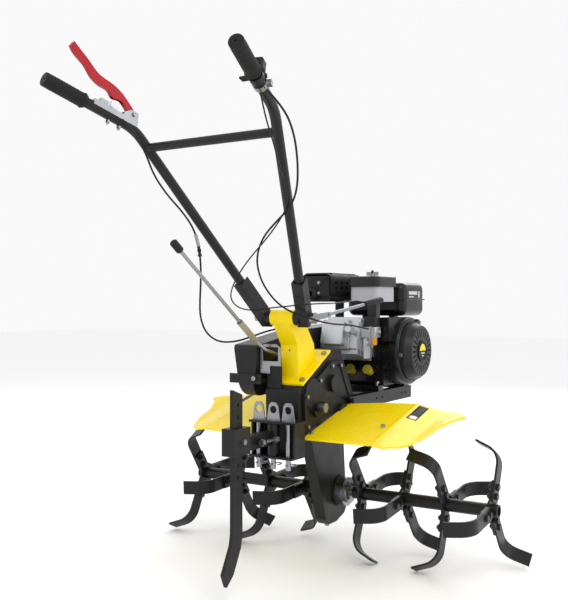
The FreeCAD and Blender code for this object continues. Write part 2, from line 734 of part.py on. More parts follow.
def belt_cover_solid(shrink):
    """The belt cover's outer form, smaller all round by shrink."""
    corners = [V(-160, y, z) for y, z in BELT_COVER_SIDE]
    outline = Part.Face(Part.makePolygon(corners + corners[:1]))
    if shrink:
        outline = outline.makeOffset2D(-shrink, 2)
    sides = outline.extrude(V(120, 0, 0))
    for low, high, radius in BELT_COVER_CORNERS:
        sides = rounded(sides, radius - shrink,
                        lambda e: along_axis(e, 0) and low - shrink < e.Vertexes[0].Point.z < high + shrink)
    outer = -151 + shrink
    inner = -74 - shrink
    section = slab([(outer, -400, 520), (outer, -400, 440), (outer + 25, -400, 284), (inner - 18, -400, 284),
                    (inner, -400, 400), (inner, -400, 520)], (0, 900, 0))
    return sides.common(section)


def belt_cover():
    """Pressed guard over belt and pulleys, with holes for both shafts in its inner face."""
    shell = belt_cover_solid(0).cut(belt_cover_solid(BELT_COVER_SHEET))
    shell = shell.cut(x_rod(-95, -40, DRIVEN_Y, DRIVEN_Z, 27))
    return shell.cut(x_rod(-95, -40, CRANK_Y, CRANK_Z, 42)).removeSplitter()


STRAP_REAR = -313.0


def belt_cover_strap():
    """Flat steel bar behind the belt cover, with its arm to the gearbox ear."""
    bar = box(-160, -57, STRAP_REAR, -306.5, 337, 363)
    arm = box(-71, -62.3, -306.6, DRIVEN_Y - 20, 338, 349.5)
    return fuse([bar, arm])


def strap_bolt():
    """Bolt through the strap, seen from behind."""
    return hexagon((-76, STRAP_REAR, 352), (0, -1, 0), 12, 7)


GATE_REAR = -292.0
GATE_OUTLINE = ((-73, 365), (-40, 365), (-40, 386), (-6, 386), (-6, 436), (-20, 445), (-60, 445), (-73, 434))


def gate_plate():
    """Shift gate: a plate with a window that guides the shift rod."""
    plate = slab([(x, GATE_REAR, z) for x, z in GATE_OUTLINE], (0, 4, 0))
    return plate.cut(box(-64, -14, GATE_REAR - 4, GATE_REAR + 8, 399, 437))


def muffler():
    """Muffler box with its outlet pipe and the pipe from the head."""
    body = rounded(box(-140, -50, 66, 252, 560, 640), 16, lambda e: along_axis(e, 1))
    inlet = rod((-70, 160, 500), (0, 0, 1), 14, 62)
    outlet = rod((-110, 66, 585), (0, -1, 0), 9, 26)
    return fuse([body, inlet, outlet])


def muffler_guard():
    """Perforated guard hood round the muffler."""
    outer = rounded(box(-148, -42, 56, 256, 574, 648), 20, lambda e: along_axis(e, 1))
    inner = rounded(box(-145, -45, 50, 265, 565, 645), 18, lambda e: along_axis(e, 1))
    hood = outer.cut(inner)
    rear = box(-140, -50, 56, 59, 578, 640)
    hood = hood.fuse(rear)
    for k in range(5):
        for z in (600, 616):
            hood = hood.cut(box(-160, -30, 82 + 34 * k, 98 + 34 * k, z, z + 6))
    hood = hood.cut(rod((-110, 50, 585), (0, 1, 0), 10.5, 20))
    return hood.removeSplitter()


def air_cleaner_base():
    """Lower case of the air cleaner."""
    base = rounded(box(0, 96, 92, 220, 560, 606), 16, lambda e: along_axis(e, 2))
    return base.cut(rod((48, 156, 600), (0, 0, 1), 4, 20))


def air_cleaner_cover():
    """Lid of the air cleaner with its stud."""
    lid = rounded(box(-6, 102, 86, 226, 606, 638), 18, lambda e: along_axis(e, 2))
    lid = rounded(lid, 7, lambda e: e.BoundBox.ZMin > 637)
    stud = rod((48, 156, 600), (0, 0, 1), 4, 58)
    return fuse([lid, stud])


def wing_nut():
    """Wing nut on the air cleaner stud."""
    nut = rod((48, 156, 638.4), (0, 0, 1), 8, 9)
    wings = box(28, 68, 154, 158, 641, 653)
    return fuse([nut, wings]).cut(rod((48, 156, 630), (0, 0, 1), 4.05, 30))


def intake_elbow():
    """Black elbow between air cleaner and carburettor."""
    return fuse([box(62, 92, 92, 120, 500, 560), box(58, 96, 78, 110, 484, 514)])


def carburettor():
    """Carburettor body with its two flanges and the throttle shaft boss."""
    shapes = [box(56, 98, 70, 110, 452, 484), box(52, 56, 62, 118, 446, 490), rod((77, 90, 484), (0, 0, 1), 6, 6)]
    shapes.append(rod((98, 90, 470), (1, 0, 0), 6, 8))
    return fuse(shapes).cut(intake_elbow()).cut(cylinder_block())


def float_bowl():
    """Brass float bowl under the carburettor."""
    bowl = rod((77, 90, 452), (0, 0, -1), 20, 24)
    bowl = rounded(bowl, 6, lambda e: e.BoundBox.ZMax < 430)
    drain = hexagon((77, 90, 428), (0, 0, -1), 10, 7)
    return fuse([bowl, drain])


def control_plate():
    """Grey plate with the engine's throttle linkage."""
    plate = box(84.8, 88, 20, 59.5, 392, 452)
    return fuse([plate, x_rod(88, 92, GOVERNOR_Y, GOVERNOR_Z, 10)])


def governor_lever():
    """Engine throttle lever pulled by the throttle cable."""
    arm = side_plate(((40, 430), (52, 430), (58, 484), (48, 488)), 92.6, 95.6)
    pivot = x_rod(92.6, 99, GOVERNOR_Y, GOVERNOR_Z, 8)
    return fuse([arm, pivot])


def fuel_tank():
    """Pressed fuel tank with its seam flange."""
    body = rounded(box(-104, 104, 266, 437, 514, 622), 26, lambda e: along_axis(e, 2))
    body = rounded(body, 22, lambda e: e.BoundBox.ZMin > 621 or e.BoundBox.ZMax < 515)
    seam = rounded(box(-110, 110, 260, 443, 565, 569), 28, lambda e: along_axis(e, 2))
    neck = rod((10, 340, 606), (0, 0, 1), 24, 20)
    feet = [box(-56, -36, 290, 318, 486, 518), box(40, 60, 290, 318, 486, 518)]
    return fuse([body, seam, neck] + feet)


def fuel_cap():
    """Screw cap of the fuel tank."""
    cap = rod((10, 340, 626.4), (0, 0, 1), 30, 16)
    cap = rounded(cap, 4, lambda e: e.BoundBox.ZMin > 638)
    for k in range(12):
        angle = math.radians(30 * k)
        cap = cap.cut(rod((10 + 31 * math.cos(angle), 340 + 31 * math.sin(angle), 610), (0, 0, 1), 3, 30))
    return cap


def oil_caps():
    """Oil filler caps at the foot of the crankcase."""
    caps = []
    for x in (-20, 40):
        neck = rod((x, 158, 340), (0, -1, 0.5), 11, 20)
        head = rod((x, 140.1, 348.9), (0, -1, 0.5), 15, 9)
        caps.append(fuse([neck, head]).cut(crankcase()))
    return group([c.Solids[0] for c in caps])


def starter_grip():
    """Starter handle with the first stretch of its rope."""
    heading = V(0, 1, STARTER_RISE).normalize()
    start = V(104, CRANK_Y, CRANK_Z).add(heading * 104)
    rope = rod(tuple(start.sub(heading * 14)), tuple(heading), 2.2, 20)
    handle = rod(tuple(start.add(heading * 6)), tuple(heading), 8, 18)
    middle = start.add(heading * 20)
    bar = rod((middle.x - 16, middle.y, middle.z), (1, 0, 0), 8, 32)
    return fuse([rope, handle, bar])


# ---- handlebars -------------------------------------------------------------
def arm_route(side):
    """Centre line of one handle arm, from just above the pivot to the end of the grip."""
    pivot = V(*ARM_PIVOT)
    start = pivot.add(unit(ARM_PIVOT, ARM_BEND) * TUBE_START)
    points = (tuple(start), ARM_BEND, ARM_END)
    return [(side * x, y, z) for x, y, z in points]


def arm_tube(side, bore):
    """The bent tube of one arm."""
    return pipe(route(arm_route(side), (ARM_BEND_RADIUS,)), ARM_TUBE_RADIUS, bore)


def arm_channel():
    """Channel at the foot of the right arm, open towards the engine, in the arm's own direction."""
    along = unit(ARM_PIVOT, ARM_BEND)
    out = V(1, 0, 0).sub(along * along.x).normalize()
    front = along.cross(out)
    if front.y < 0:
        front = front * -1
    start = V(*ARM_PIVOT).sub(along * CHANNEL_BELOW)

    def corner(a, b):
        return tuple(start.add(out * a).add(front * b))

    run = tuple(along * (CHANNEL_BELOW + CHANNEL_LENGTH))
    outer = slab([corner(-16, -15.5), corner(16, -15.5), corner(16, 17), corner(-16, 17)], run)
    inner = slab([corner(-12.6, -12.5), corner(12.6, -12.5), corner(12.6, 20), corner(-12.6, 20)], run)
    ends = x_rod(20, 120, PIVOT_Y, PIVOT_Z, 25)
    rest = slab([(20, *p) for p in up_from_pivot()], (140, 0, 0))
    return outer.cut(inner).common(fuse([ends, rest]))


def up_from_pivot():
    """Corners (y, z) of the half of the side view that lies above the pivot, along the arm."""
    up = V(0, ARM_BEND[1] - PIVOT_Y, ARM_BEND[2] - PIVOT_Z).normalize()
    across = V(0, -up.z, up.y)
    corners = []
    for distance, half in ((0, -25), (200, -25), (200, 25), (0, 25)):
        corners.append((PIVOT_Y + up.y * distance + across.y * half, PIVOT_Z + up.z * distance + across.z * half))
    return corners


def handle_arm(side):
    """Bent tube, its channel foot and the boss that bears on the column's barrel."""
    channel = arm_channel()
    boss = x_rod(BARREL_HALF + 0.8, 52, PIVOT_Y, PIVOT_Z, 20)
    foot = fuse([channel, boss])
    if side < 0:
        foot = mirror_x(foot)
    whole = fuse([arm_tube(side, ARM_BORE_RADIUS), foot])
    hole = x_rod(-100, 100, PIVOT_Y, PIVOT_Z, PIVOT_BOLT_RADIUS + HINGE_CLEARANCE)
    return whole.cut(hole)


def cross_tube():
    """Tube between both arms, mitred to them."""
    y, z = CROSS_TUBE_AT
    bar = tube((-195, y, z), (1, 0, 0), CROSS_TUBE_RADIUS, CROSS_TUBE_RADIUS - 2, 390)
    for side in (-1, 1):
        bar = bar.cut(arm_tube(side, 0))
    return max(bar.Solids, key=lambda s: s.Volume)


def grip_axis(side):
    """End point of an arm and the unit vector back along its last run."""
    end = V(side * ARM_END[0], ARM_END[1], ARM_END[2])
    bend = V(side * ARM_BEND[0], ARM_BEND[1], ARM_BEND[2])
    return end, bend.sub(end).normalize()


def along_grip(side, distance):
    """A point on the arm's last run, at a distance from its end."""
    end, back = grip_axis(side)
    return tuple(end.add(back * distance))


def grip(side):
    """Rubber grip pushed over the end of an arm."""
    end, back = grip_axis(side)
    body = rod(tuple(end.sub(back * 4)), tuple(back), GRIP_RADIUS, GRIP_LENGTH)
    collar = rod(along_grip(side, GRIP_LENGTH - 10), tuple(back), GRIP_RADIUS + 2.5, 6)
    body = rounded(body, 5, lambda e: e.Length > 60)
    whole = fuse([body, collar])
    return whole.cut(rod(tuple(end), tuple(back), ARM_TUBE_RADIUS, GRIP_LENGTH + 5))


LEVER_X = 89.5
LEVER_HEADING = (0.13, 1.0, 0.15)
LEVER_LENGTH = 262.0
LEVER_SLEEVE_AT = 178.0


def pivot_bolt():
    """Cross bolt through arms and column, with the clamp lever's eye on its right end."""
    shank = x_rod(-90, 98, PIVOT_Y, PIVOT_Z, PIVOT_BOLT_RADIUS)
    head = hexagon((-84.6, PIVOT_Y, PIVOT_Z), (-1, 0, 0), 19, 8)
    eye = x_rod(84.6, 97, PIVOT_Y, PIVOT_Z, 15)
    bar = slab([(87, PIVOT_Y - 8, PIVOT_Z - 9), (87, PIVOT_Y - 8, PIVOT_Z + 9), (87, PIVOT_Y + 90, PIVOT_Z + 16),
                (87, PIVOT_Y + 90, PIVOT_Z + 2)], (5, 0, 0))
    lever = rod((LEVER_X, PIVOT_Y + 80, PIVOT_Z + 9), LEVER_HEADING, 5, LEVER_LENGTH)
    return fuse([shank, head, eye, bar, lever])


def clamp_sleeve():
    """Black sleeve on the clamp lever."""
    end = V(*LEVER_HEADING).normalize()
    start = V(LEVER_X, PIVOT_Y + 80, PIVOT_Z + 9).add(end * LEVER_SLEEVE_AT)
    sleeve = rod(tuple(start), tuple(end), 9, 88)
    sleeve = rounded(sleeve, 3, lambda e: e.Length > 30)
    return sleeve.cut(rod(tuple(start), tuple(end), 5, LEVER_LENGTH - LEVER_SLEEVE_AT))


# left arm controls: the frame of the last run has back (towards the machine) and up
def control_frame(side, distance):
    """Point on the arm's last run with the unit vectors back and up there."""
    end, back = grip_axis(side)
    level = V(back.y, -back.x, 0).normalize()
    up = level.cross(back).normalize()
    if up.z < 0:
        up = up * -1
    return end.add(back * distance), back, up, back.cross(up).normalize()


def place(shape, side, distance):
    """Move a shape drawn with X back along the arm, Y across and Z up onto the arm."""
    point, back, up, across = control_frame(side, distance)
    turn = FreeCAD.Matrix(back.x, up.cross(back).x, up.x, point.x,
                          back.y, up.cross(back).y, up.y, point.y,
                          back.z, up.cross(back).z, up.z, point.z, 0, 0, 0, 1)
    moved = shape.copy()
    moved.transformShape(turn)
    return moved


CLUTCH_AT = 196.0
CLUTCH_PIVOT_UP = 30.0
CLUTCH_LEVER_HALF = 6.7


def clutch_bracket():
    """Zinc plated bracket on the left arm that carries the clutch lever."""
    half = ARM_TUBE_RADIUS + 0.05
    saddle = box(-72, 54, -half - 1, half + 1, 2, half + 3)
    saddle = saddle.cut(rod((-80, 0, 0), (1, 0, 0), half, 150))
    cheeks = []
    for y in (-9.5, 7.0):
        cheeks.append(slab([(12, y, half), (56, y, half), (50, y, 38), (30, y, 38), (14, y, 26)], (0, 2.5, 0)))
    stop = box(-54, -32, -7, 7, half + 2, 28)
    whole = fuse([saddle, stop] + cheeks)
    return place(whole.cut(rod((40, -20, CLUTCH_PIVOT_UP), (0, 1, 0), 4.05, 40)), -1, CLUTCH_AT)


def clutch_screws():
    """Pivot bolt of the clutch lever and the two clamp bolts under the tube."""
    shapes = [fuse([rod((40, -13, CLUTCH_PIVOT_UP), (0, 1, 0), 4.0, 26),
                    hexagon((40, -9.6, CLUTCH_PIVOT_UP), (0, -1, 0), 10, 5),
                    hexagon((40, 9.6, CLUTCH_PIVOT_UP), (0, 1, 0), 10, 6)])]
    for x in (-18, 14):
        shapes.append(fuse([hexagon((x, 0, -ARM_TUBE_RADIUS - 0.1), (0, 0, -1), 10, 7),
                            rod((x, 0, -ARM_TUBE_RADIUS - 7), (0, 0, -1), 3, 4)]))
    return [place(s, -1, CLUTCH_AT) for s in shapes]


CLUTCH_LEVER_UPPER = ((49, 33), (15, 54), (-17, 69), (-42, 74), (-80, 79), (-113, 96), (-141, 109), (-161, 119))
CLUTCH_LEVER_LOWER = ((-166, 106), (-147, 92), (-117, 79), (-96, 64), (-79, 57), (-60, 54), (-40, 52), (-26, 42),
                      (-8, 45), (22, 30), (38, 21))


def clutch_lever():
    """Red clutch lever above the left grip: an S-shaped blade between two curves."""
    upper = Part.BSplineCurve()
    upper.interpolate([V(x, -CLUTCH_LEVER_HALF, z) for x, z in CLUTCH_LEVER_UPPER])
    lower = Part.BSplineCurve()
    lower.interpolate([V(x, -CLUTCH_LEVER_HALF, z) for x, z in CLUTCH_LEVER_LOWER])
    first = V(CLUTCH_LEVER_UPPER[0][0], -CLUTCH_LEVER_HALF, CLUTCH_LEVER_UPPER[0][1])
    last = V(CLUTCH_LEVER_LOWER[-1][0], -CLUTCH_LEVER_HALF, CLUTCH_LEVER_LOWER[-1][1])
    tip_up = V(CLUTCH_LEVER_UPPER[-1][0], -CLUTCH_LEVER_HALF, CLUTCH_LEVER_UPPER[-1][1])
    tip_low = V(CLUTCH_LEVER_LOWER[0][0], -CLUTCH_LEVER_HALF, CLUTCH_LEVER_LOWER[0][1])
    outline = Part.Wire([upper.toShape(), Part.makeLine(tip_up, tip_low), lower.toShape(),
                         Part.makeLine(last, first)])
    lever = Part.Face(outline).extrude(V(0, 2 * CLUTCH_LEVER_HALF, 0))
    lever = lever.cut(rod((40, -20, CLUTCH_PIVOT_UP), (0, 1, 0), 4.3, 40))
    # room for the latch when the lever is squeezed
    hollow = slab([(-30, -4.6, 25), (8, -4.6, 25), (8, -4.6, 50.5), (-30, -4.6, 55)], (0, 9.2, 0))
    lever = lever.cut(hollow)
    return place(lever, -1, CLUTCH_AT)


def clutch_latch():
    """White locking latch in front of the stop of the clutch bracket."""
    latch = slab([(-25, -4, 22), (-4, -4, 16.4), (-2, -4, 38), (-25, -4, 36)], (0, 8, 0))
    return place(latch, -1, CLUTCH_AT)


THROTTLE_AT = 150.0
SWITCH_AT = 122.0


def throttle_clamp():
    """Clamp ring and pivot post of the throttle lever on the right arm."""
    ring = tube((-7, 0, 0), (1, 0, 0), ARM_TUBE_RADIUS + 4, ARM_TUBE_RADIUS + 0.05, 14)
    post = rod((0, 0, ARM_TUBE_RADIUS + 2), (0, 0, 1), 4, 12)
    ear = box(-6, 6, -ARM_TUBE_RADIUS - 14, -ARM_TUBE_RADIUS - 2, -6, 6)
    return place(fuse([ring, post, ear]), 1, THROTTLE_AT)


def throttle_lever():
    """Throttle thumb lever with its bright disc."""
    disc = rod((0, 0, ARM_TUBE_RADIUS + 4.5), (0, 0, 1), 13.4, 5)
    thumb = slab([(-8, 8, ARM_TUBE_RADIUS + 5), (8, 8, ARM_TUBE_RADIUS + 5), (14, 46, ARM_TUBE_RADIUS + 5),
                  (0, 50, ARM_TUBE_RADIUS + 5)], (0, 0, 4.5))
    lever = fuse([disc, thumb]).cut(rod((0, 0, 0), (0, 0, 1), 4.3, 40))
    return place(lever, 1, THROTTLE_AT)


def stop_switch():
    """Engine stop switch box on its clamp."""
    shell = rounded(box(-14, 14, -16, 16, ARM_TUBE_RADIUS + 0.5, ARM_TUBE_RADIUS + 27), 5, lambda e: True)
    ring = tube((-8, 0, 0), (1, 0, 0), ARM_TUBE_RADIUS + 4, ARM_TUBE_RADIUS + 0.05, 16)
    whole = fuse([shell, ring]).cut(rod((-30, 0, 0), (1, 0, 0), ARM_TUBE_RADIUS + 0.05, 60))
    whole = whole.cut(box(-6.5, 6.5, -8.5, 8.5, ARM_TUBE_RADIUS + 20, ARM_TUBE_RADIUS + 40))
    return place(whole, 1, SWITCH_AT)


def stop_rocker():
    """Rocker of the stop switch."""
    top = ARM_TUBE_RADIUS + 30
    profile = [(-6, -7, top - 5.5), (-6, 7, top - 5.5), (-6, 7, top), (-6, 0, top - 2.5), (-6, -7, top + 0.5)]
    rocker = slab(profile, (12, 0, 0))
    return place(rocker, 1, SWITCH_AT)


# ---- shift lever --------------------------------------------------------------
SHIFT_PIVOT = (-46.0, -206.0, 409.0)
SHIFT_TIP = (-46.0, -240.0, 412.0)
SHIFT_ELBOW = (-46.0, -262.0, 418.0)
SHIFT_JOG = (-47.0, -298.0, 428.0)
SHIFT_KNEE = (-60.0, -328.0, 452.0)
SHIFT_TOP = (-60.0, -668.0, 694.5)
SLEEVE_START = 5.0


def shift_rod():
    """Bent rod from the shift arm through the gate to the knob."""
    points = [SHIFT_PIVOT, SHIFT_TIP, SHIFT_ELBOW, SHIFT_JOG, SHIFT_KNEE, SHIFT_TOP]
    return pipe(route(points, (9, 9, 12, 14)), 5.0)


def shift_sleeve():
    """Clear plastic sleeve over the lower part of the shift rod."""
    heading = unit(SHIFT_KNEE, SHIFT_TOP)
    start = V(*SHIFT_KNEE).add(heading * SLEEVE_START)
    return tube(tuple(start), tuple(heading), 8.0, 5.0, 92)


def shift_knob():
    """Black knob on the shift rod."""
    heading = unit(SHIFT_KNEE, SHIFT_TOP)
    start = V(*SHIFT_TOP).sub(heading * 22)
    body = rod(tuple(start), tuple(heading), 10, 34)
    body = rounded(body, 4, lambda e: e.Length > 30)
    return body.cut(rod(tuple(start), tuple(heading), 5, 22))


# ---- hitch and drag stake ------------------------------------------------------
def hitch_bracket():
    """Box bracket behind the gearbox with its pin plates."""
    under_top = HITCH_TOP - HITCH_SHEET
    top = box(-62, 84, -362, -296.5, under_top, HITCH_TOP)
    low = box(-62, 74, -362, -296.5, HITCH_LOW, HITCH_LOW + HITCH_SHEET)
    back = box(-62, 74, -302.5, -296.5, HITCH_LOW, under_top)
    sides = [box(-62, -56, -350, -296.5, HITCH_LOW, under_top), box(68, 74, -350, -296.5, HITCH_LOW, under_top)]
    whole = fuse([top, low, back] + sides)
    for x in HITCH_PIN_XS:
        whole = whole.cut(rod((x, HITCH_Y, 130), (0, 0, 1), HITCH_PIN_RADIUS + HINGE_CLEARANCE, 130))
    return whole


def hitch_mount():
    """Cast block between gearbox and hitch bracket."""
    return side_plate(((-296.4, 184), (-290.3, 184), (-292.7, 235.8), (-296.4, 235.8)), -50, 50)


TAB_OUTLINE = ((-20, 0), (20, 0), (14, 40), (7, 48), (-7, 48), (-14, 40))


def hitch_pin(x):
    """Drop pin with its pressed tab head."""
    base = HITCH_TOP + 0.4
    shank = rod((x, HITCH_Y, 120), (0, 0, 1), HITCH_PIN_RADIUS, base - 120)
    shank = shank.cut(rod((x, HITCH_Y - 20, 134), (0, 1, 0), 2.2, 40))
    tab = slab([(x + dx, HITCH_Y - 1.5, base + dz) for dx, dz in TAB_OUTLINE], (0, 3, 0))
    return fuse([shank, tab.cut(rod((x, HITCH_Y - 20, base + 29), (0, 1, 0), 10, 40))])


def hitch_clip(x):
    """R-clip through the foot of a pin."""
    points = [(x, HITCH_Y - 16, 134), (x, HITCH_Y + 14, 134), (x + 12, HITCH_Y + 20, 134), (x + 20, HITCH_Y + 8, 134),
              (x + 20, HITCH_Y - 12, 134)]
    return pipe(route(points, (6, 6, 6)), 1.6)


def stake_holder():
    """Swinging holder: an eye on the middle pin, a bar and the square collar."""
    eye = rod((HITCH_PIN_XS[1], HITCH_Y, 157), (0, 0, 1), 16, 82)
    bar = box(-14, 14, STAKE_FRONT, HITCH_Y, 186, 222)
    collar = box(-20, 20, STAKE_REAR - 14, STAKE_FRONT + 14, 180, 248)
    whole = fuse([eye, bar, collar])
    whole = whole.cut(rod((HITCH_PIN_XS[1], HITCH_Y, 140), (0, 0, 1), HITCH_PIN_RADIUS + HINGE_CLEARANCE, 110))
    slot = box(-STAKE_THICKNESS / 2 - 0.4, STAKE_THICKNESS / 2 + 0.4, STAKE_REAR - 0.4, STAKE_FRONT + 0.4, 170, 260)
    whole = whole.cut(slot)
    lug = box(14, 38, -432, -424, 196, 212)
    whole = fuse([whole, lug])
    whole = whole.cut(rod((32, -440, 204), (0, 1, 0), 5.05, 30))
    return whole.cut(x_rod(5.3, 40, -506, 214, 5.05))


def stake_bolt():
    """Clamp screw in the collar's right face."""
    return fuse([x_rod(5.5, 20, -506, 214, 5.0), hexagon((20, -506, 214), (1, 0, 0), 13, 8)])


def side_stop_bolt():
    """Long bolt beside the bar that limits the holder's side swing."""
    return fuse([rod((32, -434, 204), (0, 1, 0), 5, 68), hexagon((32, -434, 204), (0, -1, 0), 16, 9),
                 hexagon((32, -374, 204), (0, 1, 0), 16, 7)])


def drag_stake():
    """Flat bar with its adjusting holes and the bent, pointed foot."""
    outline = ((STAKE_REAR, 343), (STAKE_FRONT, 329), (STAKE_FRONT, -20), (-492, -52), (-524, -112), (-552, -136),
               (-566, -104), (-532, -40), (STAKE_REAR, -12))
    bar = side_plate(outline, -STAKE_THICKNESS / 2, STAKE_THICKNESS / 2)
    for k in range(7):
        bar = bar.cut(x_rod(-20, 20, -506, 304 - 30 * k, 5.3))
    return bar


# ---- cables --------------------------------------------------------------------
CABLE_RADIUS = 2.5
STOP_WIRE_RADIUS = 1.8
THROTTLE_CABLE = ((246, -742, 1006), (262, -700, 975), (258, -652, 930), (236, -600, 878), (204, -548, 826),
                  (165, -512, 788), (112, -492, 758), (58, -468, 726), (19, -440, 688), (-4, -408, 650),
                  (-8, -372, 602), (16, -340, 554), (62, -326, 528), (108, -300, 512), (119, -242, 502),
                  (112, -170, 498), (106, -95, 494), (102, -28, 486), (99, 26, 480))
STOP_WIRE = ((232, -744, 1000), (214, -700, 962), (204, -652, 916), (190, -606, 872), (180, -560, 830),
             (160, -520, 790), (118, -494, 754), (64, -468, 716), (10, -446, 682), (-42, -422, 646),
             (-86, -400, 606), (-114, -376, 570), (-104, -354, 544), (-62, -342, 536), (-10, -340, 544),
             (44, -352, 548), (94, -347, 553), (122, -306, 556), (121, -246, 556), (110, -166, 558), (104, -92, 562),
             (96, -18, 562), (92, 50, 552))
CLUTCH_CABLE = ((-194, -706, 1000), (-182, -678, 974), (-183, -636, 931), (-194, -592, 880), (-184, -552, 834),
                (-163, -518, 794), (-140, -500, 752), (-130, -490, 706), (-128, -484, 660), (-134, -476, 612),
                (-148, -462, 564), (-160, -446, 520), (-160, -422, 478), (-142, -390, 452), (-112, -352, 452),
                (-84, -312, 466), (-62, -272, 480), (-54, -222, 486), (-54, -170, 478))


# ---- the whole machine ---------------------------------------------------------
def chassis_parts():
    """Everything that doesn't move against the gearbox and engine."""
    bed = [engine_bed()] + fender_stays()
    fasteners = gearbox_bolts().Solids + frame_bolts().Solids + column_bolts().Solids + fender_bolts()
    fasteners += [drain_plug(), strap_bolt()]
    pins = []
    for x in HITCH_PIN_XS:
        pins += [hitch_pin(x), hitch_clip(x)]
    return {
        "chain_case": chain_case(),
        "seal_housings": group(seal_housings().Solids + seal_flanges().Solids),
        "gearbox_housing": gearbox_housing(),
        "gearbox_cover": gearbox_cover(),
        "chassis_bolts": group(fasteners),
        "engine_bed": group(bed),
        "handle_column": handle_column(),
        "fenders": group([fender(-1), fender(1)]),
        "crankcase": crankcase(),
        "cylinder_block": group([cylinder_block(), spark_plug()]),
        "valve_cover": valve_cover(),
        "fan_housing": fan_housing(),
        "recoil_cover": recoil_cover(),
        "muffler": muffler(),
        "muffler_guard": muffler_guard(),
        "air_cleaner_base": air_cleaner_base(),
        "air_cleaner_cover": air_cleaner_cover(),
        "intake_elbow": intake_elbow(),
        "carburettor": group([carburettor(), control_plate()]),
        "float_bowl": float_bowl(),
        "fuel_tank": fuel_tank(),
        "oil_caps": oil_caps(),
        "belt_cover": belt_cover(),
        "belt_cover_strap": belt_cover_strap(),
        "gate_plate": gate_plate(),
        "hitch_bracket": group([hitch_bracket(), hitch_mount()]),
        "hitch_pins": group(pins),
        "drive_belt": drive_belt(),
        "drive_chain": chain(),
        "throttle_cable": cord(THROTTLE_CABLE, CABLE_RADIUS),
        "stop_wire": cord(STOP_WIRE, STOP_WIRE_RADIUS),
        "clutch_cable": cord(CLUTCH_CABLE, CABLE_RADIUS),
    }


def driven_parts():
    """Rotors, shafts and pulleys."""
    return {
        "output_shaft": output_shaft(),
        "hub_right": carrier(1),
        "hub_left": carrier(-1),
        "tines_right": tines(1),
        "tines_left": tines(-1),
        "rotor_bolts": group(tine_bolts(1) + tine_bolts(-1) + hub_pins()),
        "crankshaft": group([crankshaft(), flywheel()]),
        "engine_pulley": grooved_pulley(CRANK_Y, CRANK_Z, ENGINE_PULLEY_RADIUS, 10),
        "driven_pulley": group([grooved_pulley(DRIVEN_Y, DRIVEN_Z, DRIVEN_PULLEY_RADIUS, 10), input_shaft()]),
        "upper_sprocket": upper_sprocket(),
    }


def control_parts():
    """Handlebars and everything that a hand moves."""
    arms = [handle_arm(-1), handle_arm(1), cross_tube()]
    brackets = [clutch_bracket(), throttle_clamp()] + clutch_screws()
    return {
        "handle_arms": group(arms),
        "grips": group([grip(-1), grip(1)]),
        "control_brackets": group(brackets),
        "stop_switch": stop_switch(),
        "stop_rocker": stop_rocker(),
        "clutch_lever": clutch_lever(),
        "clutch_latch": clutch_latch(),
        "throttle_lever": throttle_lever(),
        "pivot_bolt": group([pivot_bolt(), clamp_sleeve()]),
        "shift_rod": group([shift_rod(), shift_sleeve()]),
        "shift_knob": shift_knob(),
        "stake_holder": stake_holder(),
        "stake_screws": group([stake_bolt(), side_stop_bolt()]),
        "drag_stake": drag_stake(),
        "governor_lever": governor_lever(),
        "fuel_cap": fuel_cap(),
        "wing_nut": wing_nut(),
        "starter_grip": starter_grip(),
    }


def main():
    """Build every sub-part, move it onto the footprint's centre and write one file each."""
    nodes = {}
    nodes.update(chassis_parts())
    nodes.update(driven_parts())
    nodes.update(control_parts())
    os.makedirs("parts", exist_ok=True)
    low = V(1e9, 1e9, 1e9)
    high = V(-1e9, -1e9, -1e9)
    for name, shape in nodes.items():
        shape.translate(TO_FOOTPRINT)
        shape.exportStep("parts/" + name + ".step")
        bounds = shape.optimalBoundingBox(False)
        low = V(min(low.x, bounds.XMin), min(low.y, bounds.YMin), min(low.z, bounds.ZMin))
        high = V(max(high.x, bounds.XMax), max(high.y, bounds.YMax), max(high.z, bounds.ZMax))
        if not shape.isValid() or any(s.Volume < 1 for s in shape.Solids):
            raise RuntimeError(name + " isn't a sound solid")
        print(name, len(shape.Solids), round(shape.Volume))
    print("low", low, "high", high)


main()
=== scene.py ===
"""Petrol tiller: finished surfaces, cables, grips and guards on the machine's engineering model.

Lengths are in metres in the model's frame: +X to the operator's right, +Y forwards, +Z up.
Places that are named in millimetres are measured from the centre of the tine axle.
"""

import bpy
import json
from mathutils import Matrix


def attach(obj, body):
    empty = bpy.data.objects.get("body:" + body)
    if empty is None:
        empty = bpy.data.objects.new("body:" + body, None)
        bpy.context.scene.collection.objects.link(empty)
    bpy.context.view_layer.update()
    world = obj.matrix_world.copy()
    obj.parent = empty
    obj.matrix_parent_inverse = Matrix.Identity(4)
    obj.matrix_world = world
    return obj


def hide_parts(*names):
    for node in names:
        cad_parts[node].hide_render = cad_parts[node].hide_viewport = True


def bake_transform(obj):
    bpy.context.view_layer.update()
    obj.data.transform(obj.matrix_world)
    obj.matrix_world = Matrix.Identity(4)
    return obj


bl_info = {
    "name": "Petrol Tiller",
    "version": (1, 0, 0),
    "blender": (4, 5, 0),
    "location": "3D View > Sidebar > Tiller",
    "description": "Builds the finished surfaces of a petrol tiller on its engineering model",
    "category": "Object",
}

import json
import math
import bmesh
import bpy
import numpy as np
from mathutils import Vector

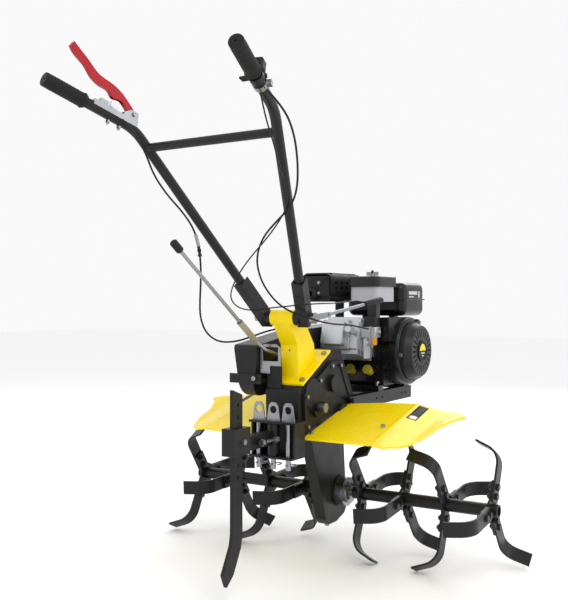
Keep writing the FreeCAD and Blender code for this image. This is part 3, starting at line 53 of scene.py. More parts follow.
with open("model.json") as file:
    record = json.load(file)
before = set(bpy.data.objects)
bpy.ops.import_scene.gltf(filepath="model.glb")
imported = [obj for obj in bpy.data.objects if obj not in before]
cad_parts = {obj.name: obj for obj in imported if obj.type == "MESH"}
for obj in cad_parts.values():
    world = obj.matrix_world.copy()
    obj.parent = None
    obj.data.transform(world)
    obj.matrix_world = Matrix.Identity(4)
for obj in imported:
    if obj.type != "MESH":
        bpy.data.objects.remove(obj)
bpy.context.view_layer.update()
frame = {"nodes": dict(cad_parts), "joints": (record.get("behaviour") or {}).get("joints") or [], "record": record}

RECORD = frame["record"]
JOINTS = {joint["name"]: joint for joint in frame["joints"]}
BODY_OF = {node: body for body, nodes in RECORD["behaviour"]["bodies"].items() for node in nodes}
SLOT_OF = {entry["node"]: entry["material_slot"] for entry in RECORD["subparts"]}
MATERIALS = {}
AXLE = np.array(JOINTS["tine_rotor"]["pos_m"])
MM = 0.001


def from_axle(points):
    """Metres in the model's frame from millimetres off the axle's centre."""
    return np.asarray(points, float) * MM + AXLE


# ---- sizes in millimetres off the axle, as on the engineering model ------------------
ARM_BEND = np.array([206.0, -650.0, 987.0])
ARM_END = np.array([267.0, -881.0, 1067.6])
FAN_AXIS = np.array([0.0, 252.0, 406.0])
CYLINDER_SLOPE = math.radians(15)
SHIFT_KNEE = np.array([-60.0, -328.0, 452.0])
SHIFT_TOP = np.array([-60.0, -668.0, 694.5])
CLAMP_PIVOT = np.array([89.5, -200.0, 526.0])
CLAMP_RUN = np.array([0.13, 1.0, 0.15])

THROTTLE_CABLE = ((246, -742, 1006), (262, -700, 975), (258, -652, 930), (236, -600, 878), (204, -548, 826),
                  (165, -512, 788), (112, -492, 758), (58, -468, 726), (19, -440, 688), (-4, -408, 650),
                  (-8, -372, 602), (16, -340, 554), (62, -326, 528), (108, -300, 512), (119, -242, 502),
                  (112, -170, 498), (106, -95, 494), (102, -28, 486), (99, 26, 480))
STOP_WIRE = ((232, -744, 1000), (214, -700, 962), (204, -652, 916), (190, -606, 872), (180, -560, 830),
             (160, -520, 790), (118, -494, 754), (64, -468, 716), (10, -446, 682), (-42, -422, 646),
             (-86, -400, 606), (-114, -376, 570), (-104, -354, 544), (-62, -342, 536), (-10, -340, 544),
             (44, -352, 548), (94, -347, 553), (122, -306, 556), (121, -246, 556), (110, -166, 558),
             (104, -92, 562), (96, -18, 562), (92, 50, 552))
CLUTCH_CABLE = ((-194, -706, 1000), (-182, -678, 974), (-183, -636, 931), (-194, -592, 880),
                (-184, -552, 834), (-163, -518, 794), (-140, -500, 752), (-130, -490, 706), (-128, -484, 660),
                (-134, -476, 612), (-148, -462, 564), (-160, -446, 520), (-160, -422, 478), (-142, -390, 452),
                (-112, -352, 452), (-84, -312, 466), (-62, -272, 480), (-54, -222, 486), (-54, -170, 478))
# the adjuster starts where the clutch cable first runs below and behind these, in metres off the axle
ADJUSTER_BELOW = 0.735
ADJUSTER_BEHIND = 0.45
ADJUSTER_STEPS = 14

# edges of the right fender in plan, and the drop and reach of each step of its rolled rim
FENDER_REAR = ((64, -293), (150, -292.5), (240, -291.5), (296, -290.5))
FENDER_OUTER = ((296, -290.5), (306, -277), (325, -262), (345, -233), (362, -187), (374, -119), (397, -64),
                (421, -41))
FENDER_FRONT = ((64, -38), (110, -26), (175, -10), (273, -2), (340, -1), (383, -9), (410, -25), (421, -41))
FENDER_INNER = ((64, -293), (64, -200), (64, -110), (64, -38))
FENDER_CENTRE = np.array([230.0, -150.0])
FENDER_SLOPE = 0.254
FENDER_LIP = ((0.0, 0.0), (0.6, 1.2), (2.4, 2.0), (5.0, 2.2))

# the label's place across and along the fender; a layer is its name, finish, inset, shortening and lift
LABEL_ACROSS = (277.0, 306.0)
LABEL_ALONG = (-104.0, -12.0)
LABEL_LAYERS = (("base", "black_plastic", 0.0, 0.0, 0.35), ("panel", "film", 3.0, 70.0, 0.6))
LABEL_SHEET = 0.0002

# the grip along its arm, measured from the arm's end
GRIP_SPAN = (-4.0, 108.0)
GRIP_RIBS = (8.0, 98.0)
GRIP_RADIUS = 15.6
GRIP_COLLAR = 101.0
GRIP_TAIL = 12.9
GRIP_CAP = ((-1.5, 0.4), (-1.5, 2.6), (-4.2, 3.0), (-4.2, 12.0))
GRIP_SIDES = 96

# profiles of turned pieces: distance along the axis, radius; a solid end stops at a pinhole
PINHOLE = 0.1
EMBLEM_RIM = ((0, PINHOLE), (0, 33), (4.5, 33), (5.6, 31.5), (5.6, 27.2), (4, 26.4), (4, PINHOLE))
STARTER_LUG = ((0, PINHOLE), (0, 10.5), (16, 9.8), (17.6, 8.5), (17.6, PINHOLE))
OUTLET_DOME = ((0, 9.8), (0, 21), (6, 20.6), (13, 17.5), (16.5, 12.5), (17, 9.8))
SHIFT_SLEEVE = ((0, 5.5), (0, 8.2), (0.6, 8.6), (91.4, 8.6), (92, 8.2), (92, 5.5))
CLAMP_SLEEVE = ((-1, 5.5), (-1, 8.8), (1, 9.4), (84, 9.6), (88.5, 8.6), (89.3, 6), (89.3, PINHOLE))
THROTTLE_DIAL = ((0, PINHOLE), (0, 11.8), (0.6, 12.4), (1.2, 11.8), (1.4, 6), (3.6, 5.4), (4, 4.6),
                 (4, PINHOLE))

# starter trim: the emblem's face along X, its printed bars in (y, z), the lugs' circle and faces
EMBLEM_BACK = 171.0
EMBLEM_CROWN = 175.6
EMBLEM_RADIUS = 21.0
EMBLEM_BARS = (((238, 398), (266, 402)), ((243, 390), (261, 393)))
EMBLEM_BARS_X = 175.4
LUG_CIRCLE = 98.0
LUG_ANGLES = (65, 185, 305)
LUG_BACK = 126.0
LUG_FACE = 143.4

# engine trim: bolt places, the outlet, the louvres' starts and steps, the tank's printed bars in (y, z)
VALVE_BOLTS_X = (-63.5, 21.5)
VALVE_BOLTS_LIFT = (-40, 40)
VALVE_COVER_FACE = 216.0
GUARD_BOLTS_X = (-134, -86)
GUARD_BOLTS_Z = (587, 619)
GUARD_FACE_Y = 56.0
OUTLET_PLACE = (-110, 57, 585)
LOUVRE_TOP = 648.2
REAR_LOUVRE = ((0, 0, 0), (2, 6, 0.2), (6, 18, 0.2), (8, 24, 0))
SIDE_LOUVRE = ((0, 0, 0), (5, 1.5, 0.2), (15, 4.5, 0.2), (19, 6, -0.8))
LOUVRE_RADII = (0.4, 1.6, 1.6, 0.4)
TANK_BARS = (((306, 583), (372, 594)), ((306, 574), (346, 578)), ((380, 574), (392, 594)))
TANK_BARS_X = 104.25

# lever trim: how far the sleeves and the dial sit along their levers, and the dial's height on the arm
SHIFT_SLEEVE_START = 5.0
CLAMP_SLEEVE_START = 178.0
DIAL_ALONG_ARM = 150.0
DIAL_OVER_ARM = 22.0

# width of the broken edge of each node that shows; None is the width set in the sidebar
BROKEN_EDGES = {
    "chain_case": 1.5, "gearbox_housing": 2.0, "gearbox_cover": 1.5, "engine_bed": 0.8,
    "handle_column": 1.5, "crankcase": 2.0, "cylinder_block": 0.5, "valve_cover": None,
    "muffler": 1.5, "muffler_guard": 0.6, "air_cleaner_base": None, "air_cleaner_cover": 1.5,
    "intake_elbow": 3.0, "carburettor": None, "float_bowl": 1.0, "fuel_tank": None, "oil_caps": 1.0,
    "belt_cover": None, "belt_cover_strap": 0.6, "gate_plate": 0.6, "hitch_bracket": 0.8,
    "hitch_pins": 0.5, "clutch_lever": 2.0, "clutch_latch": None, "throttle_lever": 1.0,
    "stop_switch": 1.0, "stop_rocker": 0.6, "control_brackets": 0.5, "stake_holder": None,
    "drag_stake": 0.8, "governor_lever": 0.4, "fuel_cap": None, "wing_nut": 0.8,
    "starter_grip": 1.5, "handle_arms": None, "tines_right": 0.7, "tines_left": 0.7,
    "hub_right": 0.6, "hub_left": 0.6, "shift_knob": 1.0, "fan_housing": None, "recoil_cover": 0.8,
}
SHARP_DEGREES = 28

# the camera, with its turn in degrees; a light is its name, place in metres, size and watts
CAMERA_PLACE = (1231.4, -2236.6, 563.5)
CAMERA_TURN = (90.0437, 0.0, 32.233)
CAMERA_LENS = 51.24
CAMERA_SENSOR = 36.0
LIGHTS = (("key", (2.6, -2.2, 3.4), 2.4, 50.0), ("fill", (-3.2, -2.4, 2.2), 3.0, 20.0),
          ("rim", (-0.8, 3.4, 3.0), 2.6, 50.0), ("side", (3.6, 1.2, 1.6), 2.0, 20.0))
LIT_POINT = Vector((0, 0, 0.5))
SKY_STRENGTH = 0.95
FLOOR_STEPS = 9

# how strongly metal and paint reflect, and the range in which a noise texture's values lie
METAL_SPECULAR = 0.5
PAINT_SPECULAR = 0.22
NOISE_RANGE = {"From Min": 0.3, "From Max": 0.7}


# ---- colours ---------------------------------------------------------------------------
def linear(colour):
    """Linear RGBA from an sRGB hex string."""
    channels = [int(colour[i:i + 2], 16) / 255 for i in (0, 2, 4)]
    return tuple(c / 12.92 if c < 0.04045 else ((c + 0.055) / 1.055) ** 2.4 for c in channels) + (1.0,)


def swatch(label, colour, about):
    """A colour property whose default is an sRGB hex string."""
    return bpy.props.FloatVectorProperty(name=label, description=about, default=linear(colour), size=4,
                                         subtype="COLOR", min=0.0, max=1.0)


class TillerColours(bpy.types.PropertyGroup):
    """Colours of the tiller's finishes."""
    guard_yellow: swatch("Guards", "F2D400", "Gloss enamel of fenders and handle column")
    lever_red: swatch("Clutch lever", "A40E19", "Moulded clutch lever")
    powder_black: swatch("Frame", "1C1C1D", "Powder coat of the handlebars, frame and tines")
    engine_black: swatch("Engine", "141415", "Gloss enamel of tank and housings")
    zinc_grey: swatch("Zinc", "96989C", "Bright plated small parts")
    cleaner_grey: swatch("Air cleaner base", "A8A8AD", "Moulded lower case of the air cleaner")


class TillerSizes(bpy.types.PropertyGroup):
    """Sizes of the parts that are shaped here."""
    grip_rib_pitch: bpy.props.FloatProperty(
        name="Grip rib pitch", description="Distance between two grip ribs",
        default=0.0062, min=0.003, max=0.02, unit="LENGTH")
    fender_sheet: bpy.props.FloatProperty(
        name="Fender sheet", description="Thickness of the fender's sheet",
        default=0.0022, min=0.001, max=0.004, unit="LENGTH")
    edge_radius: bpy.props.FloatProperty(
        name="Edge radius", description="Broken edges of plates and castings without a width of their own",
        default=0.0012, min=0.0, max=0.004, unit="LENGTH")
    floor_size: bpy.props.FloatProperty(
        name="Floor", description="Side of the studio floor",
        default=30.0, min=5.0, max=60.0, unit="LENGTH")


# ---- nodes and materials ---------------------------------------------------------------
def add_node(tree, kind, inputs=None, **settings):
    """Add one node; inputs maps a socket's name or number to a value or to an output socket."""
    node = tree.nodes.new(kind)
    for name, value in settings.items():
        setattr(node, name, value)
    for key, value in (inputs or {}).items():
        if isinstance(value, bpy.types.NodeSocket):
            tree.links.new(value, node.inputs[key])
        else:
            node.inputs[key].default_value = value
    return node


def finish(name, colour, roughness, grain_mm, depth_mm, spread=0.08, tint=0.06, stretch=(1, 1, 1), **shader):
    """A material with a noise grain of a size in millimetres.

    The grain drives a bump of depth_mm and moves the colour's value by tint; a coarser cloud moves the
    roughness by spread. stretch scales the grain's frequency along X, Y and Z for drawn surfaces.
    """
    material = bpy.data.materials.new(name)
    material.use_nodes = True
    tree = material.node_tree
    tree.nodes.clear()
    place = add_node(tree, "ShaderNodeTexCoord")
    turn = add_node(tree, "ShaderNodeMapping", {"Vector": place.outputs["Object"], "Scale": stretch})
    grain = add_node(tree, "ShaderNodeTexNoise", {
        "Vector": turn.outputs["Vector"], "Scale": 1000.0 / grain_mm, "Detail": 3.0, "Roughness": 0.55})
    cloud = add_node(tree, "ShaderNodeTexNoise", {
        "Vector": place.outputs["Object"], "Scale": 18.0, "Detail": 2.0, "Roughness": 0.5})
    rough = add_node(tree, "ShaderNodeMapRange", {
        **NOISE_RANGE, "Value": cloud.outputs["Fac"],
        "To Min": max(roughness - spread, 0.02), "To Max": min(roughness + spread, 1.0)})
    value = add_node(tree, "ShaderNodeMapRange", {
        **NOISE_RANGE, "Value": grain.outputs["Fac"], "To Min": 1.0 - tint, "To Max": 1.0 + tint})
    shade = add_node(tree, "ShaderNodeHueSaturation", {
        "Color": tuple(colour), "Value": value.outputs["Result"]})
    bump = add_node(tree, "ShaderNodeBump", {
        "Height": grain.outputs["Fac"], "Strength": 1.0, "Distance": depth_mm * MM})
    inputs = {"Base Color": shade.outputs["Color"], "Roughness": rough.outputs["Result"],
              "Normal": bump.outputs["Normal"],
              "Specular IOR Level": METAL_SPECULAR if shader.get("Metallic") else PAINT_SPECULAR}
    inputs.update(shader)
    surface = add_node(tree, "ShaderNodeBsdfPrincipled", inputs)
    add_node(tree, "ShaderNodeOutputMaterial", {"Surface": surface.outputs["BSDF"]})
    material.diffuse_color = tuple(colour)
    return material


def make_materials(colours):
    """Every finish of the machine, by the record's material slot."""
    return {
        # baked polyester powder coat on steel: satin with a fine orange peel
        "black_enamel": finish("powder_coated_steel", colours.powder_black, 0.36, 2.2, 0.02,
                               **{"Coat Weight": 0.04, "Coat Roughness": 0.25}),
        # paint over a sand casting: dull, with a pebbled skin
        "cast_black": finish("painted_sand_casting", linear("1A1A1B"), 0.45, 3.0, 0.16, spread=0.1),
        # stoved gloss enamel on pressed steel and die castings
        "engine_black": finish("stoved_gloss_enamel", colours.engine_black, 0.26, 2.6, 0.015,
                               **{"Coat Weight": 0.12, "Coat Roughness": 0.12}),
        # silicone heat paint: dead matt, slightly greyed
        "heat_black": finish("heat_proof_paint", linear("1E1E1F"), 0.55, 1.6, 0.04),
        # two-pack gloss enamel over pressed sheet: smooth, strong colour, clear reflections
        "yellow_enamel": finish("gloss_enamelled_sheet", colours.guard_yellow, 0.27, 9.0, 0.006,
                                spread=0.02, tint=0.006, **{"Coat Weight": 0.12, "Coat Roughness": 0.1}),
        # bright zinc plating: metallic, faint cloudy haze
        "zinc": finish("bright_zinc_plate", colours.zinc_grey, 0.33, 2.5, 0.006, spread=0.06, tint=0.05,
                       **{"Metallic": 1.0}),
        # turned and drawn bar: rings across the shaft's length
        "steel": finish("turned_steel", linear("8E8F92"), 0.32, 0.8, 0.012, stretch=(1, 0.12, 0.12),
                        **{"Metallic": 1.0}),
        # die-cast aluminium: pale, matt, pebbled
        "aluminium": finish("die_cast_aluminium", linear("B9BCC0"), 0.42, 1.8, 0.06, tint=0.08,
                            **{"Metallic": 0.9}),
        # yellow passivated pressed bowl
        "brass": finish("yellow_passivated_steel", linear("C98A2E"), 0.26, 1.4, 0.01, tint=0.12,
                        **{"Metallic": 1.0}),
        # nitrile rubber: dull black with a fine moulding grain
        "rubber": finish("moulded_rubber", linear("191919"), 0.6, 0.9, 0.03),
        # glass-filled nylon: fine matt texture from the mould
        "black_plastic": finish("glass_filled_nylon", linear("1B1B1C"), 0.48, 0.8, 0.03),
        # polypropylene cover: even satin with a spark-eroded texture
        "gloss_plastic": finish("polypropylene_cover", linear("252527"), 0.38, 1.1, 0.03,
                                **{"Coat Weight": 0.04, "Coat Roughness": 0.2}),
        # silver-filled ABS
        "grey_plastic": finish("silver_grey_abs", colours.cleaner_grey, 0.36, 1.2, 0.015),
        # polyamide caps in olive yellow
        "olive_plastic": finish("olive_polyamide", linear("A3922C"), 0.42, 1.0, 0.02),
        # gloss polyamide with a slight waviness
        "red_plastic": finish("red_polyamide", colours.lever_red, 0.3, 9.0, 0.006, spread=0.03, tint=0.01,
                              **{"Coat Weight": 0.08, "Coat Roughness": 0.15}),
        # acetal: white and waxy
        "white_plastic": finish("white_acetal", linear("DEDEE2"), 0.34, 1.5, 0.01, tint=0.02),
        # extruded PVC jacket: smooth along its length
        "cable_jacket": finish("extruded_pvc_jacket", linear("131313"), 0.4, 1.5, 0.01),
        # black oxide on bolts
        "black_bolt": finish("black_oxide_steel", linear("2A2A2B"), 0.38, 1.0, 0.02, **{"Metallic": 0.4}),
        # clear PVC sleeve gone amber over plated rod
        "sleeve": finish("amber_pvc_sleeve", linear("8F8C70"), 0.3, 2.0, 0.01, **{"Coat Weight": 0.4}),
        # white and silver print under clear film
        "film": finish("silver_printed_film", linear("C9CACC"), 0.3, 2.0, 0.004, **{"Metallic": 0.6}),
    }


def material(slot):
    """The finished material of a slot, made once."""
    if not MATERIALS:
        MATERIALS.update(make_materials(bpy.context.scene.tiller_colours))
    return MATERIALS[slot]


# ---- mesh helpers ------------------------------------------------------------------------
def unit(vector):
    """A vector at length one."""
    return np.asarray(vector, float) / np.linalg.norm(vector)


def shade_by_angle(piece, degrees):
    """Smooth faces, with every edge sharper than an angle kept crisp."""
    for polygon in piece.data.polygons:
        polygon.use_smooth = True
    piece.data.set_sharp_from_angle(angle=math.radians(degrees))


def new_piece(name, points, faces, slot, body, degrees=35):
    """A mesh object at the origin in a finish, riding on a body where one is named.
    """
    mesh = bpy.data.meshes.new(name)
    mesh.from_pydata([tuple(p) for p in points], [], [tuple(f) for f in faces])
    mesh.validate()
    piece = bpy.data.objects.new(name, mesh)
    bpy.context.scene.collection.objects.link(piece)
    mesh.materials.append(material(slot))
    shade_by_angle(piece, degrees)
    if body:
        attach(piece, body)
    return piece


def grid_faces(rows, columns, wrap=False):
    """Quads of a grid of points in row order; wrap joins the last column to the first."""
    i, j = np.meshgrid(np.arange(rows - 1), np.arange(columns if wrap else columns - 1), indexing="ij")
    nxt = (j + 1) % columns
    quads = np.stack([i * columns + j, i * columns + nxt, (i + 1) * columns + nxt, (i + 1) * columns + j], -1)
    return quads.reshape(-1, 4)


def normals_along(path):
    """Two unit normals at each point of a path, carried forward without twist."""
    tangents = np.gradient(path, axis=0)
    tangents /= np.linalg.norm(tangents, axis=1)[:, None]
    normals = [unit(np.cross(tangents[0], (0.3, 0.9, 0.2)))]
    for tangent in tangents[1:]:
        normals.append(unit(normals[-1] - tangent * np.dot(normals[-1], tangent)))
    return np.array(normals), np.cross(tangents, normals)


def swept(path, radii, sides):
    """Points and faces of a round bar along a path in metres, closed at both ends.

    A ring at angle a of station s is path(s) + r(s) * (cos a * n(s) + sin a * b(s)).
    """
    path = np.asarray(path, float)
    normals, sideways = normals_along(path)
    angles = np.linspace(0, 2 * np.pi, sides, endpoint=False)[None, :, None]
    radii = np.broadcast_to(np.asarray(radii, float), len(path))
    ring = np.cos(angles) * normals[:, None] + np.sin(angles) * sideways[:, None]
    points = (path[:, None] + radii[:, None, None] * ring).reshape(-1, 3)
    faces = [face[::-1] for face in grid_faces(len(path), sides, wrap=True).tolist()]
    last = len(points)
    return points, faces + [list(range(sides)), list(range(last - 1, last - sides - 1, -1))]


def circle(heading, beside, sides):
    """Unit vectors around a heading; the first is square to it and to the vector beside."""
    aside = unit(np.cross(heading, beside))
    angles = np.linspace(0, 2 * np.pi, sides, endpoint=False)
    return np.cos(angles)[:, None] * aside + np.sin(angles)[:, None] * np.cross(heading, aside)


def turned(start, heading, profile, sides):
    """Points and faces of a turned piece, its start and profile in millimetres.

    A ring at angle a of a profile's pair (d, r) is start + d * heading + r * (cos a * n + sin a * b).
    """
    heading = unit(heading)
    profile = np.asarray(profile, float)
    ring = circle(heading, (0.21, 0.33, 0.92), sides)
    points = np.asarray(start) + profile[:, 0, None, None] * heading + profile[:, 1, None, None] * ring
    faces = [face[::-1] for face in grid_faces(len(profile), sides, wrap=True).tolist()]
    last = len(profile) * sides
    ends = [list(range(sides)), list(range(last - 1, last - sides - 1, -1))]
    return from_axle(points.reshape(-1, 3)), faces + ends


def softened(node, width):
    """A merged copy of an engineering node with its hard edges broken; it stands for the node."""
    mesh = frame["nodes"][node].data.copy()
    build = bmesh.new()
    build.from_mesh(mesh)
    bmesh.ops.remove_doubles(build, verts=build.verts, dist=1e-5)
    bmesh.ops.dissolve_limit(build, angle_limit=math.radians(0.4), verts=build.verts, edges=build.edges)
    build.to_mesh(mesh)
    build.free()
    piece = bpy.data.objects.new(node + "_finished", mesh)
    bpy.context.scene.collection.objects.link(piece)
    mesh.materials.clear()
    mesh.materials.append(material(SLOT_OF[node]))
    shade_by_angle(piece, SHARP_DEGREES)
    bevel = piece.modifiers.new("broken edges", "BEVEL")
    bevel.width = bpy.context.scene.tiller_sizes.edge_radius if width is None else width * MM
    bevel.segments = 2
    bevel.limit_method = "ANGLE"
    bevel.angle_limit = math.radians(SHARP_DEGREES)
    bevel.harden_normals = True
    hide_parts(node)
    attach(piece, BODY_OF[node])


# ---- camera and stage ---------------------------------------------------------------------
class TILLER_OT_stage(bpy.types.Operator):
    """Add the camera, the studio lights and the floor"""
    bl_idname = "tiller.stage"
    bl_label = "Stage"

    def execute(self, context):
        data = bpy.data.cameras.new("camera")
        data.lens = CAMERA_LENS
        data.sensor_width = CAMERA_SENSOR
        camera = bpy.data.objects.new("camera", data)
        camera.location = Vector(from_axle(CAMERA_PLACE))
        camera.rotation_euler = [math.radians(turn) for turn in CAMERA_TURN]
        context.scene.collection.objects.link(camera)
        context.scene.camera = camera
        for name, place, size, power in LIGHTS:
            light = bpy.data.lights.new(name, "AREA")
            light.energy = power
            light.size = size
            lamp = bpy.data.objects.new(name, light)
            lamp.location = place
            lamp.rotation_euler = (LIT_POINT - Vector(place)).to_track_quat("-Z", "Y").to_euler()
            context.scene.collection.objects.link(lamp)
        world = bpy.data.worlds.new("studio")
        world.use_nodes = True
        sky = world.node_tree.nodes["Background"]
        sky.inputs["Color"].default_value = (1.0, 1.0, 1.0, 1.0)
        sky.inputs["Strength"].default_value = SKY_STRENGTH
        context.scene.world = world
        context.scene.view_settings.view_transform = "Standard"
        half = context.scene.tiller_sizes.floor_size / 2
        side = np.linspace(-half, half, FLOOR_STEPS)
        x, y = np.meshgrid(side, side)
        points = np.stack([x, y, np.zeros_like(x)], -1).reshape(-1, 3)
        mesh = bpy.data.meshes.new("floor")
        mesh.from_pydata([tuple(p) for p in points], [], grid_faces(FLOOR_STEPS, FLOOR_STEPS).tolist())
        floor = bpy.data.objects.new("floor", mesh)
        context.scene.collection.objects.link(floor)
        mesh.materials.append(finish("white_studio_floor", linear("FAFAFA"), 0.8, 40.0, 0.0, tint=0.003))
        return {"FINISHED"}


# ---- cables ---------------------------------------------------------------------------------
def cord_line(name, route):
    """Points of the smooth line with the route's points as control points."""
    curve = bpy.data.curves.new(name, "CURVE")
    curve.dimensions = "3D"
    spline = curve.splines.new("NURBS")
    spline.points.add(len(route) - 1)
    for point, place in zip(spline.points, from_axle(route)):
        point.co = (*place, 1.0)
    spline.order_u = 3
    spline.use_endpoint_u = True
    spline.resolution_u = 10
    holder = bpy.data.objects.new(name, curve)
    bpy.context.scene.collection.objects.link(holder)
    bpy.context.view_layer.update()
    line = bpy.data.meshes.new_from_object(holder)
    path = np.array([v.co[:] for v in line.vertices])
    bpy.data.objects.remove(holder)
    bpy.data.meshes.remove(line)
    bpy.data.curves.remove(curve)
    return path


def cable(name, node, route, diameter):
    """One jacketed cable from the handlebar to the machine."""
    path = cord_line(name, route)
    points, faces = swept(path, diameter / 2, 12)
    piece = new_piece(name, points, faces, "cable_jacket", None, 60)
    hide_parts(node)
    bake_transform(piece)
    return path


class TILLER_OT_cables(bpy.types.Operator):
    """Add the throttle cable, the stop wire and the clutch cable with its adjuster"""
    bl_idname = "tiller.cables"
    bl_label = "Cables"

    def execute(self, context):
        cable("throttle_cable_jacket", "throttle_cable", THROTTLE_CABLE, 0.005)
        cable("stop_wire_jacket", "stop_wire", STOP_WIRE, 0.0036)
        path = cable("clutch_cable_jacket", "clutch_cable", CLUTCH_CABLE, 0.005)
        heights = path[:, 2] - AXLE[2]
        first = int(np.argmax((heights < ADJUSTER_BELOW) & (path[:, 1] < AXLE[1] - ADJUSTER_BEHIND)))
        run = path[first:first + ADJUSTER_STEPS]
        share = np.linspace(0, 1, len(run))
        boot = 0.0046 + 0.0012 * np.sin(share * np.pi * 9) * (share > 0.5)
        points, faces = swept(run, boot, 16)
        piece = new_piece("cable_adjuster", points, faces, "zinc", None, 40)
        piece.data.materials.append(material("black_plastic"))
        for polygon in piece.data.polygons:
            polygon.material_index = int(polygon.center[2] < run[ADJUSTER_STEPS // 2][2])
        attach(piece, "handlebar")
        return {"FINISHED"}


# ---- grips ------------------------------------------------------------------------------------
def grip_rings(end, back, pitch):
    """Rings of points of a grip on an arm that ends at a place and runs back from it.

    At s from the end and angle a round the arm the radius is
    15.6 + 1.5 sqrt(edge(s)) + 0.35 cos(2 pi s / pitch) + 0.28 cos(24 a) + 2.2 exp(-((s - 101) / 2.6)^2):
    a body whose edge rises from 0 to 1 at both ends, ribs and flutes between 8 and 98 mm, and a collar.
    """
    s = np.linspace(*GRIP_SPAN, 220)
    edge = np.minimum((s - GRIP_SPAN[0]) / 3.0, (GRIP_SPAN[1] - s) / 6.0).clip(0, 1)
    ribbed = (s > GRIP_RIBS[0]) & (s < GRIP_RIBS[1])
    radius = GRIP_RADIUS + 1.5 * np.sqrt(edge) + 0.35 * np.cos(2 * np.pi * s / pitch) * ribbed
    radius += 2.2 * np.exp(-((s - GRIP_COLLAR) / 2.6) ** 2)
    angles = np.linspace(0, 2 * np.pi, GRIP_SIDES, endpoint=False)
    flutes = 0.28 * np.cos(24 * angles)[None, :] * ribbed[:, None]
    rounds = np.array(GRIP_CAP + ((GRIP_SPAN[1], GRIP_TAIL),))
    places = np.r_[rounds[:-1, 0], s, rounds[-1:, 0]]
    smooth = np.ones((1, GRIP_SIDES))
    radii = np.concatenate([rounds[:-1, 1:] * smooth, radius[:, None] + flutes, rounds[-1:, 1:] * smooth])
    return end + places[:, None, None] * back + radii[..., None] * circle(back, (0, 0, 1), GRIP_SIDES)


class TILLER_OT_grips(bpy.types.Operator):
    """Add the ribbed rubber grips"""
    bl_idname = "tiller.grips"
    bl_label = "Grips"

    def execute(self, context):
        for side, name in ((-1, "left"), (1, "right")):
            mirror = np.array([side, 1, 1])
            back = unit((ARM_BEND - ARM_END) * mirror)
            rings = grip_rings(ARM_END * mirror, back, context.scene.tiller_sizes.grip_rib_pitch / MM)
            faces = [face[::-1] for face in grid_faces(len(rings), GRIP_SIDES, wrap=True).tolist()]
            faces.append(list(range(GRIP_SIDES)))
            points = from_axle(rings.reshape(-1, 3))
            piece = new_piece(name + "_grip", points, faces, "rubber", "handlebar", 50)
            if side < 0:
                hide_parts("grips")
        return {"FINISHED"}


# ---- fenders ------------------------------------------------------------------------------------
def smoothstep(x, low, high):
    """0 below low, 1 above high and an S-curve between."""
    t = np.clip((x - low) / (high - low), 0, 1)
    return t * t * (3 - 2 * t)


def along(polyline, shares):
    """Points at shares of a polyline's length."""
    line = np.asarray(polyline, float)
    reach = np.r_[0, np.cumsum(np.linalg.norm(np.diff(line, axis=0), axis=1))]
    return np.stack([np.interp(shares * reach[-1], reach, line[:, k]) for k in range(2)], -1)


def fender_height(x, y):
    """Height off the axle of the fender's upper face.

    A plane that rises forwards, minus an S-curve of 15 mm down to the rim, plus a return of 4 mm past it,
    with a small ridge where the curve begins.
    """
    flat = 264.0 + (y + 38.0) * FENDER_SLOPE
    crease = 0.9 * np.exp(-((x - 266.0) / 4.0) ** 2)
    return flat - 15.0 * smoothstep(x, 262, 350) + 4.0 * smoothstep(x, 352, 430) + crease


def fender_grid(rows, columns):
    """Plan points of the fender as a Coons patch between its four edges."""
    v = np.linspace(0, 1, rows)
    u = np.linspace(0, 1, columns)
    inner, outer = along(FENDER_INNER, v), along(FENDER_OUTER, v)
    rear, front = along(FENDER_REAR, u), along(FENDER_FRONT, u)
    uu, vv = u[None, :, None], v[:, None, None]
    ruled = (1 - uu) * inner[:, None] + uu * outer[:, None] + (1 - vv) * rear[None] + vv * front[None]
    corners = ((1 - uu) * (1 - vv) * rear[0] + uu * (1 - vv) * rear[-1]
               + (1 - uu) * vv * front[0] + uu * vv * front[-1])
    return ruled - corners


class TILLER_OT_fenders(bpy.types.Operator):
    """Add the pressed yellow fenders with their rolled rims"""
    bl_idname = "tiller.fenders"
    bl_label = "Fenders"

    def execute(self, context):
        rows, columns, rim = 72, 96, len(FENDER_LIP) - 1
        plan = fender_grid(rows, columns)
        outwards = plan - FENDER_CENTRE
        outwards /= np.linalg.norm(outwards, axis=-1, keepdims=True)
        height = fender_height(plan[..., 0], plan[..., 1])
        lip = [np.dstack([plan + outwards * reach, height - drop]) for drop, reach in FENDER_LIP]
        grid = np.empty((rows + 2 * rim, columns + rim, 3))
        grid[rim:-rim, :-rim] = lip[0]
        for k in range(1, rim + 1):
            column = k - rim - 1
            grid[rim - k, :-rim] = lip[k][0]
            grid[column, :-rim] = lip[k][-1]
            grid[rim:-rim, column] = lip[k][:, -1]
            for ring in range(rim):
                corner = lip[max(k, ring + 1)]
                grid[rim - 1 - ring, column] = corner[0, -1]
                grid[ring - rim, column] = corner[-1, -1]
        for side, name in ((1, "right"), (-1, "left")):
            points = from_axle(grid.reshape(-1, 3) * (side, 1, 1))
            faces = grid_faces(*grid.shape[:2]).tolist()
            if side < 0:
                faces = [face[::-1] for face in faces]
            piece = new_piece(name + "_fender", points, faces, "yellow_enamel", "chassis", 40)
            sheet = piece.modifiers.new("sheet", "SOLIDIFY")
            sheet.thickness = context.scene.tiller_sizes.fender_sheet
            sheet.offset = -1.0
            if side > 0:
                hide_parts("fenders")
        return {"FINISHED"}


